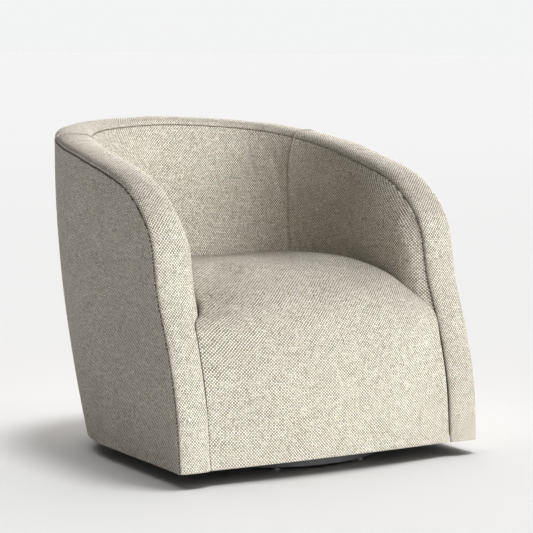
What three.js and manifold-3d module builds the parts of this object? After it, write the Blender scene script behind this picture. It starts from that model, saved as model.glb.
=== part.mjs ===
// Upholstered barrel lounge chair on a swivel base.
// Millimetres, +Z up, the sitter faces -Y. Left and right are as seen from the front, left -X.
// The origin lies on the floor under the middle of the chair's width and depth, and the swivel
// axis stands a little in front of it.
// A padded wall runs round the back and both arms. Its edge is one soft band that falls from
// the back's rim, along the arms and down their fronts to the foot. The wall hides a timber
// frame, and the seat rests on zigzag springs. A flat ball bearing turns all of it on a ring.
import * as THREE from 'three';
import { mergeVertices } from 'three/addons/utils/BufferGeometryUtils.js';
import Module from 'manifold-3d';

// Overall sizes
const WIDTH = 760;
const DEPTH = 850;
const HEIGHT = 720;
const SEAT_HEIGHT = 422;
const SHELL_LIFT = 30;

// Clearances: hard pieces seat with FIT, sewn covers meet with SEAM
const FIT = 0.3;
const SEAM = 0.6;
const OVERRUN = 2;

// Outer wall: a superellipse behind, straight arms in front, drawn in towards the foot
const PLAN_POWER = 2.5;
const FLARE_POWER = 2;
const FLARE_DROP = 60;
const FOOT_SIDE_INSET = 4;
const FOOT_BACK_INSET = 214;
const FOOT_PLAN_INSET = 90;
const ARM_RUN_SHARE = 0.5765;
const PANEL_THICKNESS = 8;
const FRAME_DEPTH = 48;

// Edge band: width and rise at the rim and at the foot, and the tongue it stands on
const BAND_WIDTH = 86;
const BAND_FOOT_WIDTH = 72;
const BAND_RISE = 16;
const BAND_FOOT_RISE = 10;
const BAND_EDGE = 3;
const TONGUE_DROP = 14;
const RIM_RAIL_HEIGHT = 24;
const BAND_ROUND_SHARE = 0.8;
const BAND_NARROWING_SHARES = [0.49, 0.91];

// The band's line: plan turn (0 middle of the back, 1 widest place) and share of its height
const RAIL_SHARES = [
  [0, 1], [0.16, 0.994], [0.377, 0.984], [0.602, 0.969], [0.801, 0.945], [0.962, 0.917],
  [1, 0.9035], [1.159, 0.877], [1.398, 0.82], [1.568, 0.699], [1.607, 0.525], [1.667, 0.355],
  [1.687, 0.18], [1.65, 0],
];
const SEAM_TURN_SHARE = 0.72;
const SHOULDER_SHARE = 0.686;

// Inside pads
const PAD_FOOT_LIFT = 16;
const PAD_CROWN = 18;
const PAD_ROLL = 80;
const ARM_CROWN = 38;
const ARM_ROLL = 46;
const ARM_CROWN_TURN_SHARES = [0.95, 1.3];
const BACK_LEAN_SHARE = 0.14;
const SEAM_LEAN_SHARE = 0.04;

// Tight seat with a front that runs down to the foot
const SEAT_TUCK = 90;
const SEAT_PLAY = 1.5;
const APRON_THICKNESS = 28;
const SEAT_BOW_POWER = 2.8;
const SEAT_LINE_SHARES = [
  [0.008, 0], [0.0028, 0.196], [0.0003, 0.417], [0.0083, 0.613], [0.0365, 0.772], [0.1, 0.9],
  [0.2, 0.975], [0.32, 1], [0.5, 0.985], [0.665, 0.951], [0.835, 0.919],
];
const APRON_EDGE_SHARES = [0, 0.26, 0.51, 0.77, 0.99];
const SEAT_EDGE_SHARES = [
  [1.58, 0.8], [1.45, 0.843], [1.25, 0.878], [1.05, 0.901], [0.8, 0.919], [0.55, 0.934], [0.3, 0.944],
];

// Swivel base
const AXIS_INSET = 86;
const RING_RADIUS = 292;
const RING_WIDTH = 30;
const RING_HEIGHT = 18;
const GLIDE_COUNT = 8;
const GLIDE_RADIUS = 10;
const GLIDE_HEIGHT = 6;
const CROSS_BAR_WIDTH = 44;
const CROSS_HEIGHT = 10;
const HUB_RADIUS = 95;
const EDGE_ROUND = 2;

// Ball bearing
const PLATE_SIZE = 150;
const PLATE_CORNER = 18;
const PLATE_THICKNESS = 3;
const BALL_RADIUS = 4;
const BALL_COUNT = 12;
const TRACK_RADIUS = 60;
const TRACK_HALF_WIDTH = 5;
const TRACK_LIP = 2;
const TRACK_RIDGE = 1.5;
const CAGE_THICKNESS = 1.4;
const CAGE_HALF_WIDTH = 8;
const PIN_RADIUS = 8;
const PIN_HEAD_RADIUS = 13;
const PIN_HEAD_HEIGHT = 3;
const PIN_CLEARANCE = 0.4;
const BOLT_OFFSET = 58;
const BOLT_RADIUS = 3;
const BOLT_CLEARANCE = 0.4;
const BOLT_HEAD_RADIUS = 6;
const BOLT_HEAD_HEIGHT = 3;

// Timber frame
const BOARD_THICKNESS = 12;
const BOARD_PLAY = 1.5;
const BOARD_HOLE_RADIUS = 20;
const DUST_COVER_THICKNESS = 1;
const DUST_COVER_HOLE_RADIUS = 112;
const RIB_THICKNESS = 18;
const RIB_PLAY = 1.8;
const RIB_HEAD_PLAY = 1.2;
const RIB_SHARES = [0, 0.3, 0.56, 0.86, 1.25];
const SEAT_FRAME_DROP = 122;
const SEAT_FRAME_INSET = 125;
const SEAT_RAIL_THICKNESS = 22;
const SEAT_RAIL_HEIGHT = 65;
const BACK_RAIL_INSET = 294;
const POST_SIZE = 44;
const STRETCHER_HEIGHT = 70;

// Zigzag springs and the pad over them
const SPRING_COUNT = 5;
const SPRING_WIDTH = 52;
const SPRING_SIDE_GAP = 23;
const WIRE_RADIUS = 2;
const HALF_LOOPS = 14;
const LOOP_STEPS = 4;
const WIRE_SIDES = 5;
const SPRING_SQUARE_SHARE = 0.15;
const SPRING_LOOP_SHARE = 0.16;
const END_BAR = 16;
const CLIP_WALL = 1;
const CLIP_LENGTH = 14;
const CLIP_SINK = 0.5;
const DECK_THICKNESS = 5;

// Facets: counts round bodies and across and along the soft pieces
const ROUND_SEGMENTS = 64;
const TRACK_SEGMENTS = 36;
const SMALL_SEGMENTS = 16;
const HOLE_SEGMENTS = 20;
const BALL_SEGMENTS = [8, 6];
const BAND_FACETS = 8;
const BACK_STEPS = 24;
const ARM_STEPS = 13;
const FRONT_STEPS = 15;
const BACK_ROWS = 7;
const SEAT_COLUMNS = 16;
const SEAT_ROWS_PER_POINT = 2;
const RIB_STEPS = 7;
const CORNER_SEGMENTS = 6;

// Steps for slopes taken by differences, and how closely a share is found
const STEP_SHARE = 0.001;
const FOUND_SHARE = 1e-7;

// Heights of the stacked base and bearing
const ringBottom = GLIDE_HEIGHT + FIT;
const ringTop = ringBottom + RING_HEIGHT;
const lowerPlateBottom = ringTop + FIT;
const lowerPlateTop = lowerPlateBottom + PLATE_THICKNESS;
const ballCentre = lowerPlateTop + FIT + BALL_RADIUS;
const upperPlateBottom = ballCentre + BALL_RADIUS + FIT;
const upperPlateTop = upperPlateBottom + PLATE_THICKNESS;
const boardBottom = upperPlateTop + FIT;
const boardTop = boardBottom + BOARD_THICKNESS;
const frameFoot = boardTop + FIT;
const ringInner = RING_RADIUS - RING_WIDTH;
const armRun = DEPTH * ARM_RUN_SHARE;

// The seat frame, and the deck, pads and seat stacked on it
const halfFrame = WIDTH / 2 - SEAT_FRAME_INSET;
const seatFrameTop = SEAT_HEIGHT - SEAT_FRAME_DROP;
const seatRailBottom = seatFrameTop - SEAT_RAIL_HEIGHT;
const backRailMiddle = DEPTH / 2 - BACK_RAIL_INSET;
const wireLevel = seatFrameTop + FIT + WIRE_RADIUS;
const clipTop = wireLevel + WIRE_RADIUS + FIT + CLIP_WALL;
const deckBottom = clipTop + FIT;
const seatUnder = deckBottom + DECK_THICKNESS + FIT;
const padFoot = seatFrameTop + PAD_FOOT_LIFT;

const wasm = await Module();
wasm.setup();

const mix = (a, b, share) => a + (b - a) * share;
const clamp01 = (value) => Math.min(Math.max(value, 0), 1);
const smooth = (value) => clamp01(value) ** 2 * (3 - 2 * clamp01(value));

// Solids from grids, sections and booleans

function geometryOf(points, triangles) {
  const geometry = new THREE.BufferGeometry();
  const places = points.flatMap((point) => [point.x, point.y, point.z]);
  geometry.setAttribute('position', new THREE.Float32BufferAttribute(places, 3));
  const volume = triangles.reduce((sum, [a, b, c]) => (
    sum + points[a].dot(new THREE.Vector3().crossVectors(points[b], points[c]))), 0);
  const outward = volume > 0 ? triangles : triangles.map(([a, b, c]) => [a, c, b]);
  geometry.setIndex(outward.flat());
  return geometry;
}

// A closed solid between two faces given as functions of shares across and along
function gridSolid(front, back, across, along) {
  const columns = across + 1;
  const layer = columns * (along + 1);
  const points = [front, back].flatMap((face) => Array.from({ length: layer }, (_, k) => (
    face((k % columns) / across, Math.floor(k / columns) / along))));
  const triangles = [];
  const quad = (a, b, c, d) => triangles.push([a, b, c], [a, c, d]);
  for (let j = 0; j < along; j += 1) {
    for (let i = 0; i < across; i += 1) {
      const a = j * columns + i;
      quad(a, a + 1, a + columns + 1, a + columns);
      quad(layer + a, layer + a + columns, layer + a + columns + 1, layer + a + 1);
    }
  }
  const border = [];
  for (let i = 0; i < across; i += 1) border.push(i);
  for (let j = 0; j < along; j += 1) border.push(j * columns + across);
  for (let i = across; i > 0; i -= 1) border.push(along * columns + i);
  for (let j = along; j > 0; j -= 1) border.push(j * columns);
  border.forEach((a, k) => {
    const b = border[(k + 1) % border.length];
    quad(a, layer + a, layer + b, b);
  });
  return geometryOf(points, triangles);
}

// A wire of round section along points that lie in one level
function wireSolid(path, radius, sides) {
  const points = path.flatMap((point, k) => {
    const before = path[Math.max(k - 1, 0)];
    const after = path[Math.min(k + 1, path.length - 1)];
    const along = after.clone().sub(before).normalize();
    const side = new THREE.Vector3(-along.y, along.x, 0);
    return Array.from({ length: sides }, (_, i) => {
      const angle = (2 * Math.PI * i) / sides;
      const out = side.clone().multiplyScalar(radius * Math.cos(angle));
      return point.clone().add(out).add(new THREE.Vector3(0, 0, radius * Math.sin(angle)));
    });
  });
  const triangles = [];
  for (let k = 0; k < path.length - 1; k += 1) {
    for (let i = 0; i < sides; i += 1) {
      const a = k * sides + i;
      const b = k * sides + ((i + 1) % sides);
      triangles.push([a, b, b + sides], [a, b + sides, a + sides]);
    }
  }
  const end = (path.length - 1) * sides;
  for (let i = 1; i < sides - 1; i += 1) {
    triangles.push([0, i + 1, i], [end, end + i, end + i + 1]);
  }
  return geometryOf(points, triangles);
}

function toSolid(geometry) {
  const plain = geometry.clone();
  plain.deleteAttribute('normal');
  plain.deleteAttribute('uv');
  const merged = mergeVertices(plain);
  return new wasm.Manifold(new wasm.Mesh({
    numProp: 3,
    vertProperties: new Float32Array(merged.attributes.position.array),
    triVerts: new Uint32Array(merged.index.array),
  }));
}

function fromSolid(solid) {
  const mesh = solid.getMesh();
  const geometry = new THREE.BufferGeometry();
  geometry.setAttribute('position', new THREE.BufferAttribute(new Float32Array(mesh.vertProperties), 3));
  geometry.setIndex(new THREE.BufferAttribute(new Uint32Array(mesh.triVerts), 1));
  return geometry;
}

const join = (...bodies) => fromSolid(bodies.map(toSolid).reduce((a, b) => a.add(b)));
const common = (first, second) => fromSolid(toSolid(first).intersect(toSolid(second)));

function cut(body, ...cutters) {
  return fromSolid(cutters.map(toSolid).reduce((a, b) => a.subtract(b), toSolid(body)));
}

// A box from its low corner to its high corner
function block(low, high) {
  const size = high.clone().sub(low);
  const middle = low.clone().add(high).multiplyScalar(0.5);
  return new THREE.BoxGeometry(size.x, size.y, size.z).translate(middle.x, middle.y, middle.z);
}

// A body turned from radius and height pairs about the swivel axis's own line
function turned(profile, segments = ROUND_SEGMENTS) {
  const outline = profile.map(([radius, height]) => new THREE.Vector2(radius, height));
  return new THREE.LatheGeometry([...outline, outline[0]], segments).rotateX(Math.PI / 2);
}

function disc(radius, low, high, segments = SMALL_SEGMENTS) {
  return new THREE.CylinderGeometry(radius, radius, high - low, segments)
    .rotateX(Math.PI / 2)
    .translate(0, 0, (low + high) / 2);
}

// A flat plate with round holes, each given by its middle and radius
function plate(shape, low, high, holes) {
  const settings = { depth: high - low, bevelEnabled: false, curveSegments: CORNER_SEGMENTS };
  const blank = new THREE.ExtrudeGeometry(shape, settings).translate(0, 0, low);
  return cut(blank, ...holes.map(([x, y, radius]) => (
    disc(radius, low - OVERRUN, high + OVERRUN, HOLE_SEGMENTS).translate(x, y, 0))));
}

function mirrored(geometry) {
  const copy = geometry.clone().scale(-1, 1, 1);
  const order = copy.index.array;
  for (let k = 0; k < order.length; k += 3) {
    [order[k + 1], order[k + 2]] = [order[k + 2], order[k + 1]];
  }
  return copy;
}

// The outer wall and the line of its edge

function planAt(height) {
  const rise = clamp01((height - SHELL_LIFT) / (HEIGHT - FLARE_DROP - SHELL_LIFT));
  const flare = 1 - (1 - rise) ** FLARE_POWER;
  const footBack = DEPTH / 2 - FOOT_BACK_INSET + FOOT_PLAN_INSET;
  return {
    halfWidth: mix(WIDTH / 2 - FOOT_SIDE_INSET, WIDTH / 2, flare),
    back: mix(footBack, DEPTH / 2, flare),
    centre: mix(-FOOT_PLAN_INSET, 0, flare),
  };
}

// A point of the outer wall and its level outward direction
function wallAt(turn, height) {
  const { halfWidth, back, centre } = planAt(height);
  const angle = (Math.min(Math.abs(turn), 1) * Math.PI) / 2;
  const side = Math.sign(turn);
  const acrossShare = Math.sin(angle) ** (2 / PLAN_POWER);
  const backShare = Math.max(Math.cos(angle), 0) ** (2 / PLAN_POWER);
  const forward = Math.max(Math.abs(turn) - 1, 0) * armRun;
  const y = centre + back * backShare - forward;
  const point = new THREE.Vector3(side * halfWidth * acrossShare, y, height);
  const out = new THREE.Vector3(
    (side * acrossShare ** (PLAN_POWER - 1)) / halfWidth,
    Math.abs(turn) < 1 ? backShare ** (PLAN_POWER - 1) / back : 0,
    0,
  ).normalize();
  return { point, out };
}

const railCurve = new THREE.CatmullRomCurve3(
  RAIL_SHARES.map(([turn, heightShare]) => new THREE.Vector3(turn, heightShare, 0)),
);

// The edge line's plan turn and height at a share of its run from the back's middle
function railAt(share) {
  const { x, y } = railCurve.getPoint(Math.abs(share));
  return { turn: Math.sign(share) * x, height: mix(SHELL_LIFT, HEIGHT - BAND_RISE, y) };
}

// The edge line's own directions: out of the wall, and on past the wall's edge
function railFrame(share) {
  const place = (s) => {
    const { turn, height } = railAt(s);
    return wallAt(turn, height);
  };
  const { point, out } = place(share);
  const ahead = Math.min(share + STEP_SHARE, 1);
  const along = place(ahead).point.sub(place(ahead - 2 * STEP_SHARE).point).normalize();
  const beyond = new THREE.Vector3().crossVectors(along, out).normalize();
  if (Math.abs(share) === 1) beyond.setZ(0).normalize();
  return { point, out, beyond };
}

function edgePoint(share, outward, onward) {
  const { point, out, beyond } = railFrame(share);
  return point.clone().addScaledVector(out, outward).addScaledVector(beyond, onward);
}

const narrowing = (share) => smooth(
  (Math.abs(share) - BAND_NARROWING_SHARES[0]) / (BAND_NARROWING_SHARES[1] - BAND_NARROWING_SHARES[0]),
);
const bandWidth = (share) => mix(BAND_WIDTH, BAND_FOOT_WIDTH, narrowing(share));
const bandRise = (share) => mix(BAND_RISE, BAND_FOOT_RISE, narrowing(share));

// The share of the edge line where a measure of it first passes a value
function findShare(measure, value, low, high) {
  let [a, b] = [low, high];
  const rising = measure(high) > measure(low);
  while (b - a > FOUND_SHARE) {
    const middle = (a + b) / 2;
    if (measure(middle) > value === rising) b = middle;
    else a = middle;
  }
  return (a + b) / 2;
}

const shareAtTurn = (turn) => findShare((s) => railAt(s).turn, turn, 0, SHOULDER_SHARE);
const shareAtHeight = (height) => findShare((s) => railAt(s).height, height, 0, 1);

// The wall's level direction at a place, and its length per turn there
function slopeAt(turn, height) {
  const ahead = wallAt(turn + STEP_SHARE, height).point;
  const level = ahead.sub(wallAt(turn - STEP_SHARE, height).point);
  const perTurn = level.length() / (2 * STEP_SHARE);
  return { level: level.normalize(), perTurn };
}

// The edge line drawn in from the wall's edge, as a plan turn and a height
function insetRail(share, inset) {
  const { turn, height } = railAt(share);
  const { beyond } = railFrame(share);
  const { level, perTurn } = slopeAt(turn, height);
  return { turn: turn - (inset * beyond.dot(level)) / perTurn, height: height - inset * beyond.z };
}

// Half the cross seam's gap, as a turn
const halfSeamTurn = (height, seam) => seam / 2 / slopeAt(SEAM_TURN_SHARE, height).perTurn;

// Stations along a side's edge line, shared by every piece beside it: from the cross seam over
// the arm to its shoulder, down its front to the timber's foot, and a last one at the very foot
const sideStations = ARM_STEPS + FRONT_STEPS;
const railFootShare = shareAtHeight(frameFoot);

function stationShare(station, seam) {
  const start = shareAtTurn(SEAM_TURN_SHARE + halfSeamTurn(HEIGHT, seam));
  if (station <= ARM_STEPS) return mix(start, SHOULDER_SHARE, station / ARM_STEPS);
  if (station >= sideStations) return 1;
  return mix(SHOULDER_SHARE, railFootShare, (station - ARM_STEPS) / (FRONT_STEPS - 1));
}

// Places on a side of the wall, from its four edges: turn, height and the band's width there
function sidePatch(foot, inset, seam) {
  const startTurn = SEAM_TURN_SHARE + halfSeamTurn(HEIGHT, seam);
  const atStation = (station) => {
    const share = stationShare(station, seam);
    const { turn, height } = insetRail(share, inset);
    return new THREE.Vector3(turn, height, bandWidth(share));
  };
  const onRail = (station) => {
    const whole = Math.min(Math.floor(station), sideStations - 1);
    return atStation(whole).lerp(atStation(whole + 1), station - whole);
  };
  const footStation = foot > SHELL_LIFT
    ? findShare((station) => onRail(station).y, foot, ARM_STEPS, sideStations) : sideStations;
  const rows = Math.ceil(footStation - ARM_STEPS);
  const top = (u) => onRail(ARM_STEPS * u);
  const front = (v) => onRail(Math.min(ARM_STEPS + rows * (1 - v), footStation));
  const rearLow = new THREE.Vector3(startTurn, foot, BAND_WIDTH);
  const frontLow = front(0).setY(foot);
  const rear = (v) => rearLow.clone().lerp(top(0), v).setX(startTurn);
  const bottom = (u) => rearLow.clone().lerp(frontLow, u);
  const place = (u, v) => {
    const sum = bottom(u).multiplyScalar(1 - v).addScaledVector(top(u), v);
    sum.addScaledVector(rear(v), 1 - u).addScaledVector(v === 0 ? frontLow : front(v), u);
    sum.addScaledVector(rearLow, -(1 - u) * (1 - v)).addScaledVector(frontLow, -u * (1 - v));
    sum.addScaledVector(top(0), -(1 - u) * v).addScaledVector(top(1), -u * v);
    return { turn: sum.x, height: sum.y, width: sum.z };
  };
  return { place, across: ARM_STEPS, along: rows };
}

function backPatch(foot, inset, seam) {
  const endShare = shareAtTurn(SEAM_TURN_SHARE - halfSeamTurn(HEIGHT, seam));
  const place = (u, v) => {
    const share = mix(-endShare, endShare, u);
    const { turn, height } = insetRail(Math.abs(share), inset);
    return { turn: Math.sign(share) * turn, height: mix(foot, height, v), width: bandWidth(share) };
  };
  return { place, across: BACK_STEPS, along: BACK_ROWS };
}

// Padded edge band and the timber rail under it

// Outward and onward places round the band's section, over the top and along the underside
function bandSection(share, u) {
  const width = bandWidth(share);
  const angle = Math.PI * u;
  const tongueOuter = -PANEL_THICKNESS - SEAM;
  const tongueInner = SEAM - FRAME_DEPTH + OVERRUN;
  const under = [
    [0, -BAND_EDGE], [tongueOuter, -BAND_EDGE],
    [tongueOuter, -TONGUE_DROP], [mix(tongueOuter, tongueInner, 1 / 3), -TONGUE_DROP],
    [mix(tongueOuter, tongueInner, 2 / 3), -TONGUE_DROP], [tongueInner, -TONGUE_DROP],
    [tongueInner, -BAND_EDGE], [(tongueInner - width) / 2, -BAND_EDGE], [-width, -BAND_EDGE],
  ];
  const top = [(-width * (1 - Math.cos(angle))) / 2, bandRise(share) * Math.sin(angle) ** BAND_ROUND_SHARE];
  if (u === 0 || u === 1) top[1] = 0;
  return { top, under: under[Math.round(u * (under.length - 1))] };
}

function bandSolid(shareOf, steps) {
  const face = (part) => (u, v) => edgePoint(shareOf(v), ...bandSection(shareOf(v), u)[part]);
  return gridSolid(face('top'), face('under'), BAND_FACETS, steps);
}

function rimRailSolid(shareOf, steps) {
  const outer = -PANEL_THICKNESS - RIB_PLAY;
  const inner = SEAM - FRAME_DEPTH + OVERRUN;
  const face = (onward) => (u, v) => {
    const point = edgePoint(shareOf(v), mix(outer, inner, u), onward);
    return point.setZ(Math.max(point.z, frameFoot));
  };
  const top = -TONGUE_DROP - FIT;
  return gridSolid(face(top), face(top - RIM_RAIL_HEIGHT), 1, steps);
}

const backEndShare = shareAtTurn(SEAM_TURN_SHARE - halfSeamTurn(HEIGHT, SEAM));
const backShare = (v) => mix(-backEndShare, backEndShare, v);
const backBand = bandSolid(backShare, BACK_STEPS);
const backRimRail = rimRailSolid(backShare, BACK_STEPS);
const sideBand = bandSolid((v) => stationShare(sideStations * v, SEAM), sideStations);
const sideRimRail = rimRailSolid((v) => stationShare((sideStations - 1) * v, SEAM), sideStations - 1);

// Panels and pads on the wall

function depthPoint({ turn, height }, depth) {
  const { point, out } = wallAt(turn, height);
  return point.addScaledVector(out, -depth);
}

function outsideSolid({ place, across, along }) {
  const face = (depth) => (u, v) => depthPoint(place(u, v), depth);
  return gridSolid(face(0), face(PANEL_THICKNESS), across, along);
}

// Share of the pad's crown reached at a distance in from its edge
const fullness = (distance, roll) => 1 - (1 - clamp01(distance / roll)) ** 2;

// How deep the pad's face lies under the outer wall
function padDepth({ turn, height, width }) {
  const beside = Math.abs(turn);
  const shoulder = railAt(SHOULDER_SHARE);
  const rim = railAt(shareAtTurn(Math.min(beside, shoulder.turn))).height;
  const drop = Math.max(rim - height, 0);
  const frontTurn = railAt(shareAtHeight(Math.min(height, shoulder.height))).turn;
  const front = (frontTurn - beside) * armRun + Math.max(height - shoulder.height, 0);
  const [crownStart, crownEnd] = ARM_CROWN_TURN_SHARES;
  const crown = mix(PAD_CROWN, ARM_CROWN, smooth((beside - crownStart) / (crownEnd - crownStart)));
  const leanShare = beside < SEAM_TURN_SHARE
    ? mix(BACK_LEAN_SHARE, SEAM_LEAN_SHARE, smooth(beside / SEAM_TURN_SHARE))
    : SEAM_LEAN_SHARE * (1 - smooth((beside - SEAM_TURN_SHARE) / (1 - SEAM_TURN_SHARE)));
  return width + crown * fullness(drop, PAD_ROLL) * fullness(front, ARM_ROLL) + leanShare * drop;
}

function padSolid({ place, across, along }, growth) {
  const face = (u, v) => depthPoint(place(u, v), padDepth(place(u, v)) + growth);
  const back = (u, v) => depthPoint(place(u, v), FRAME_DEPTH);
  return gridSolid(face, back, across, along);
}

const PAD_INSET = BAND_EDGE + SEAM;

const sideOutside = outsideSolid(sidePatch(SHELL_LIFT, PAD_INSET, SEAM));
const backOutside = outsideSolid(backPatch(SHELL_LIFT, PAD_INSET, SEAM));
const sidePad = padSolid(sidePatch(padFoot, PAD_INSET, SEAM), 0);
const backPad = padSolid(backPatch(padFoot, PAD_INSET, SEAM), 0);

// The same pads grown by a seam's gap, to fit the seat and the deck between them
const sideCutter = padSolid(sidePatch(padFoot, PAD_INSET, -SEAM), SEAM);
const backCutter = padSolid(backPatch(padFoot, PAD_INSET, -SEAM), SEAM);

// Seat: a crowned pad and its front in one cover, lofted from a middle line to its side edges

const seatHeightAt = (share) => mix(SHELL_LIFT, SEAT_HEIGHT, share);

const seatLine = new THREE.CatmullRomCurve3(SEAT_LINE_SHARES.map(([depthShare, heightShare]) => (
  new THREE.Vector3(0, DEPTH * (depthShare - 0.5), seatHeightAt(heightShare)))));

const seatEdge = new THREE.CatmullRomCurve3([
  ...APRON_EDGE_SHARES.map((share) => {
    const onRail = shareAtHeight(mix(SHELL_LIFT, padFoot, share));
    return edgePoint(onRail, -bandWidth(onRail) - SEAT_PLAY, 0);
  }),
  ...SEAT_EDGE_SHARES.map(([turn, share]) => depthPoint({ turn, height: seatHeightAt(share) }, SEAT_TUCK)),
]);
const edgeSpans = APRON_EDGE_SHARES.length + SEAT_EDGE_SHARES.length - 1;
const apronEndShare = (APRON_EDGE_SHARES.length - 1) / edgeSpans;

// The inner face of the seat's front, a little behind the line of the arms' fronts
const apronInner = (height) => edgePoint(shareAtHeight(height), 0, 0).y + APRON_THICKNESS;

function seatTop(u, v) {
  const side = 2 * u - 1;
  const middle = seatLine.getPoint(v);
  const edge = seatEdge.getPoint(v);
  const bow = Math.abs(side) ** SEAT_BOW_POWER;
  return new THREE.Vector3(side * edge.x, mix(middle.y, edge.y, bow), mix(middle.z, edge.z, bow));
}

function seatUnderside(u, v) {
  const top = seatTop(u, v);
  if (v <= apronEndShare) {
    const height = mix(SHELL_LIFT, seatUnder, v / apronEndShare);
    return new THREE.Vector3(top.x, apronInner(height), height);
  }
  const start = seatTop(u, apronEndShare).y;
  const end = seatTop(u, 1).y;
  const share = (top.y - start) / (end - start);
  return new THREE.Vector3(top.x, mix(apronInner(seatUnder), end, share), seatUnder);
}

const padCutters = [sideCutter, mirrored(sideCutter), backCutter];
const seatRows = edgeSpans * SEAT_ROWS_PER_POINT;
const seat = cut(gridSolid(seatTop, seatUnderside, SEAT_COLUMNS, seatRows), ...padCutters);

// Timber frame

// The wall's plan at a height, drawn in by a depth and closed across the front
function footOutline(height, depth, front) {
  const side = sidePatch(SHELL_LIFT, PAD_INSET, SEAM);
  const back = backPatch(SHELL_LIFT, PAD_INSET, SEAM);
  const sideTurns = Array.from({ length: side.across }, (_, i) => side.place(i / side.across, 0).turn);
  const backTurns = Array.from({ length: back.across + 1 }, (_, i) => back.place(i / back.across, 0).turn);
  const turns = [...sideTurns.map((turn) => -turn).reverse(), ...backTurns, ...sideTurns];
  const wall = turns.map((turn) => depthPoint({ turn, height }, depth));
  const points = wall.filter((point) => point.y > front);
  const halfFront = planAt(height).halfWidth - depth;
  return new THREE.Shape([
    new THREE.Vector2(-halfFront, front), ...points.map((point) => new THREE.Vector2(point.x, point.y)),
    new THREE.Vector2(halfFront, front),
  ]);
}

const corners = [[-1, -1], [1, -1], [1, 1], [-1, 1]];
const boltPlaces = corners.map(([x, y]) => [x * BOLT_OFFSET, y * BOLT_OFFSET]);
const boltHoles = boltPlaces.map(([x, y]) => [x, y, BOLT_RADIUS + BOLT_CLEARANCE]);
const boardFront = apronInner(boardTop) + FIT;

function baseBoard() {
  const shape = footOutline(boardBottom, PANEL_THICKNESS + BOARD_PLAY, boardFront);
  const holes = [[0, 0, BOARD_HOLE_RADIUS], ...boltHoles];
  const placed = holes.map(([x, y, radius]) => [x, y - AXIS_INSET, radius]);
  return plate(shape, boardBottom, boardTop, placed);
}

function dustCover() {
  const top = boardBottom - FIT;
  const shape = footOutline(top - DUST_COVER_THICKNESS, PANEL_THICKNESS + BOARD_PLAY, boardFront);
  return plate(shape, top - DUST_COVER_THICKNESS, top, [[0, -AXIS_INSET, DUST_COVER_HOLE_RADIUS]]);
}

// An upright rib between the outside panel and the inside pad, from the board to the rim rail
function rib(turn) {
  const { perTurn } = slopeAt(turn, (frameFoot + HEIGHT) / 2);
  const railDrop = TONGUE_DROP + FIT + RIM_RAIL_HEIGHT + RIB_HEAD_PLAY;
  const face = (side) => (u, v) => {
    const place = turn + (side * RIB_THICKNESS) / 2 / perTurn;
    const share = findShare((s) => insetRail(s, railDrop).turn, Math.abs(place), 0, SHOULDER_SHARE);
    const top = insetRail(share, railDrop).height;
    const depth = mix(PANEL_THICKNESS + RIB_PLAY, FRAME_DEPTH - RIB_PLAY, u);
    return depthPoint({ turn: place, height: mix(frameFoot, top, v) }, depth);
  };
  return gridSolid(face(1), face(-1), 1, RIB_STEPS);
}

const frontRailFace = apronInner(seatUnder) + FIT;
const frontRailBack = frontRailFace + SEAT_RAIL_THICKNESS;
const backRailFace = backRailMiddle - SEAT_RAIL_THICKNESS / 2;
const railDepth = FRAME_DEPTH - SEAM - OVERRUN + FIT;

// A pressed strap over a spring's end bar, let into the top of its rail
function springClip(middle, y) {
  const inner = WIRE_RADIUS + FIT;
  const outer = inner + CLIP_WALL;
  const drop = wireLevel - seatFrameTop + CLIP_SINK;
  const shape = new THREE.Shape();
  shape.moveTo(outer, -drop);
  shape.lineTo(outer, 0);
  shape.absarc(0, 0, outer, 0, Math.PI, false);
  shape.lineTo(-outer, -drop);
  shape.lineTo(-inner, -drop);
  shape.lineTo(-inner, 0);
  shape.absarc(0, 0, inner, Math.PI, 0, true);
  shape.lineTo(inner, -drop);
  const along = new THREE.Matrix4().makeBasis(
    new THREE.Vector3(0, 1, 0), new THREE.Vector3(0, 0, 1), new THREE.Vector3(1, 0, 0),
  );
  const settings = { depth: CLIP_LENGTH, bevelEnabled: false, curveSegments: CORNER_SEGMENTS };
  return new THREE.ExtrudeGeometry(shape, settings)
    .applyMatrix4(along)
    .translate(middle - CLIP_LENGTH / 2, y, wireLevel);
}

const springReach = halfFrame - SEAT_RAIL_THICKNESS - SPRING_SIDE_GAP - SPRING_WIDTH / 2;
const springPlaces = Array.from({ length: SPRING_COUNT }, (_, i) => (
  springReach * ((2 * i) / (SPRING_COUNT - 1) - 1)));
const frontBar = frontRailFace + SEAT_RAIL_THICKNESS / 2;
const backBar = backRailMiddle;

function railWithClips(halfLength, face, barY, side) {
  const rail = block(
    new THREE.Vector3(-halfLength, face, seatRailBottom),
    new THREE.Vector3(halfLength, face + SEAT_RAIL_THICKNESS, seatFrameTop),
  );
  return join(rail, ...springPlaces.map((x) => springClip(x + (side * END_BAR) / 2, barY)));
}

// Zigzag wire: squared-off bends whose loops swell a little past their bars
function zigzagSpring(x) {
  const reach = SPRING_WIDTH / 2 - WIRE_RADIUS;
  const pitch = (backBar - frontBar) / HALF_LOOPS;
  const bends = Array.from({ length: HALF_LOOPS * LOOP_STEPS + 1 }, (_, k) => {
    const phase = (Math.PI * k) / LOOP_STEPS;
    const wave = Math.sin(phase);
    const square = wave * Math.sqrt((1 + SPRING_SQUARE_SHARE) / (wave ** 2 + SPRING_SQUARE_SHARE));
    const y = frontBar + pitch * (k / LOOP_STEPS - SPRING_LOOP_SHARE * Math.sin(2 * phase));
    return new THREE.Vector3(x + reach * square, y, wireLevel);
  });
  const start = new THREE.Vector3(x - END_BAR, frontBar, wireLevel);
  const end = new THREE.Vector3(x + END_BAR, backBar, wireLevel);
  return wireSolid([start, ...bends, end], WIRE_RADIUS, WIRE_SIDES);
}

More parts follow.
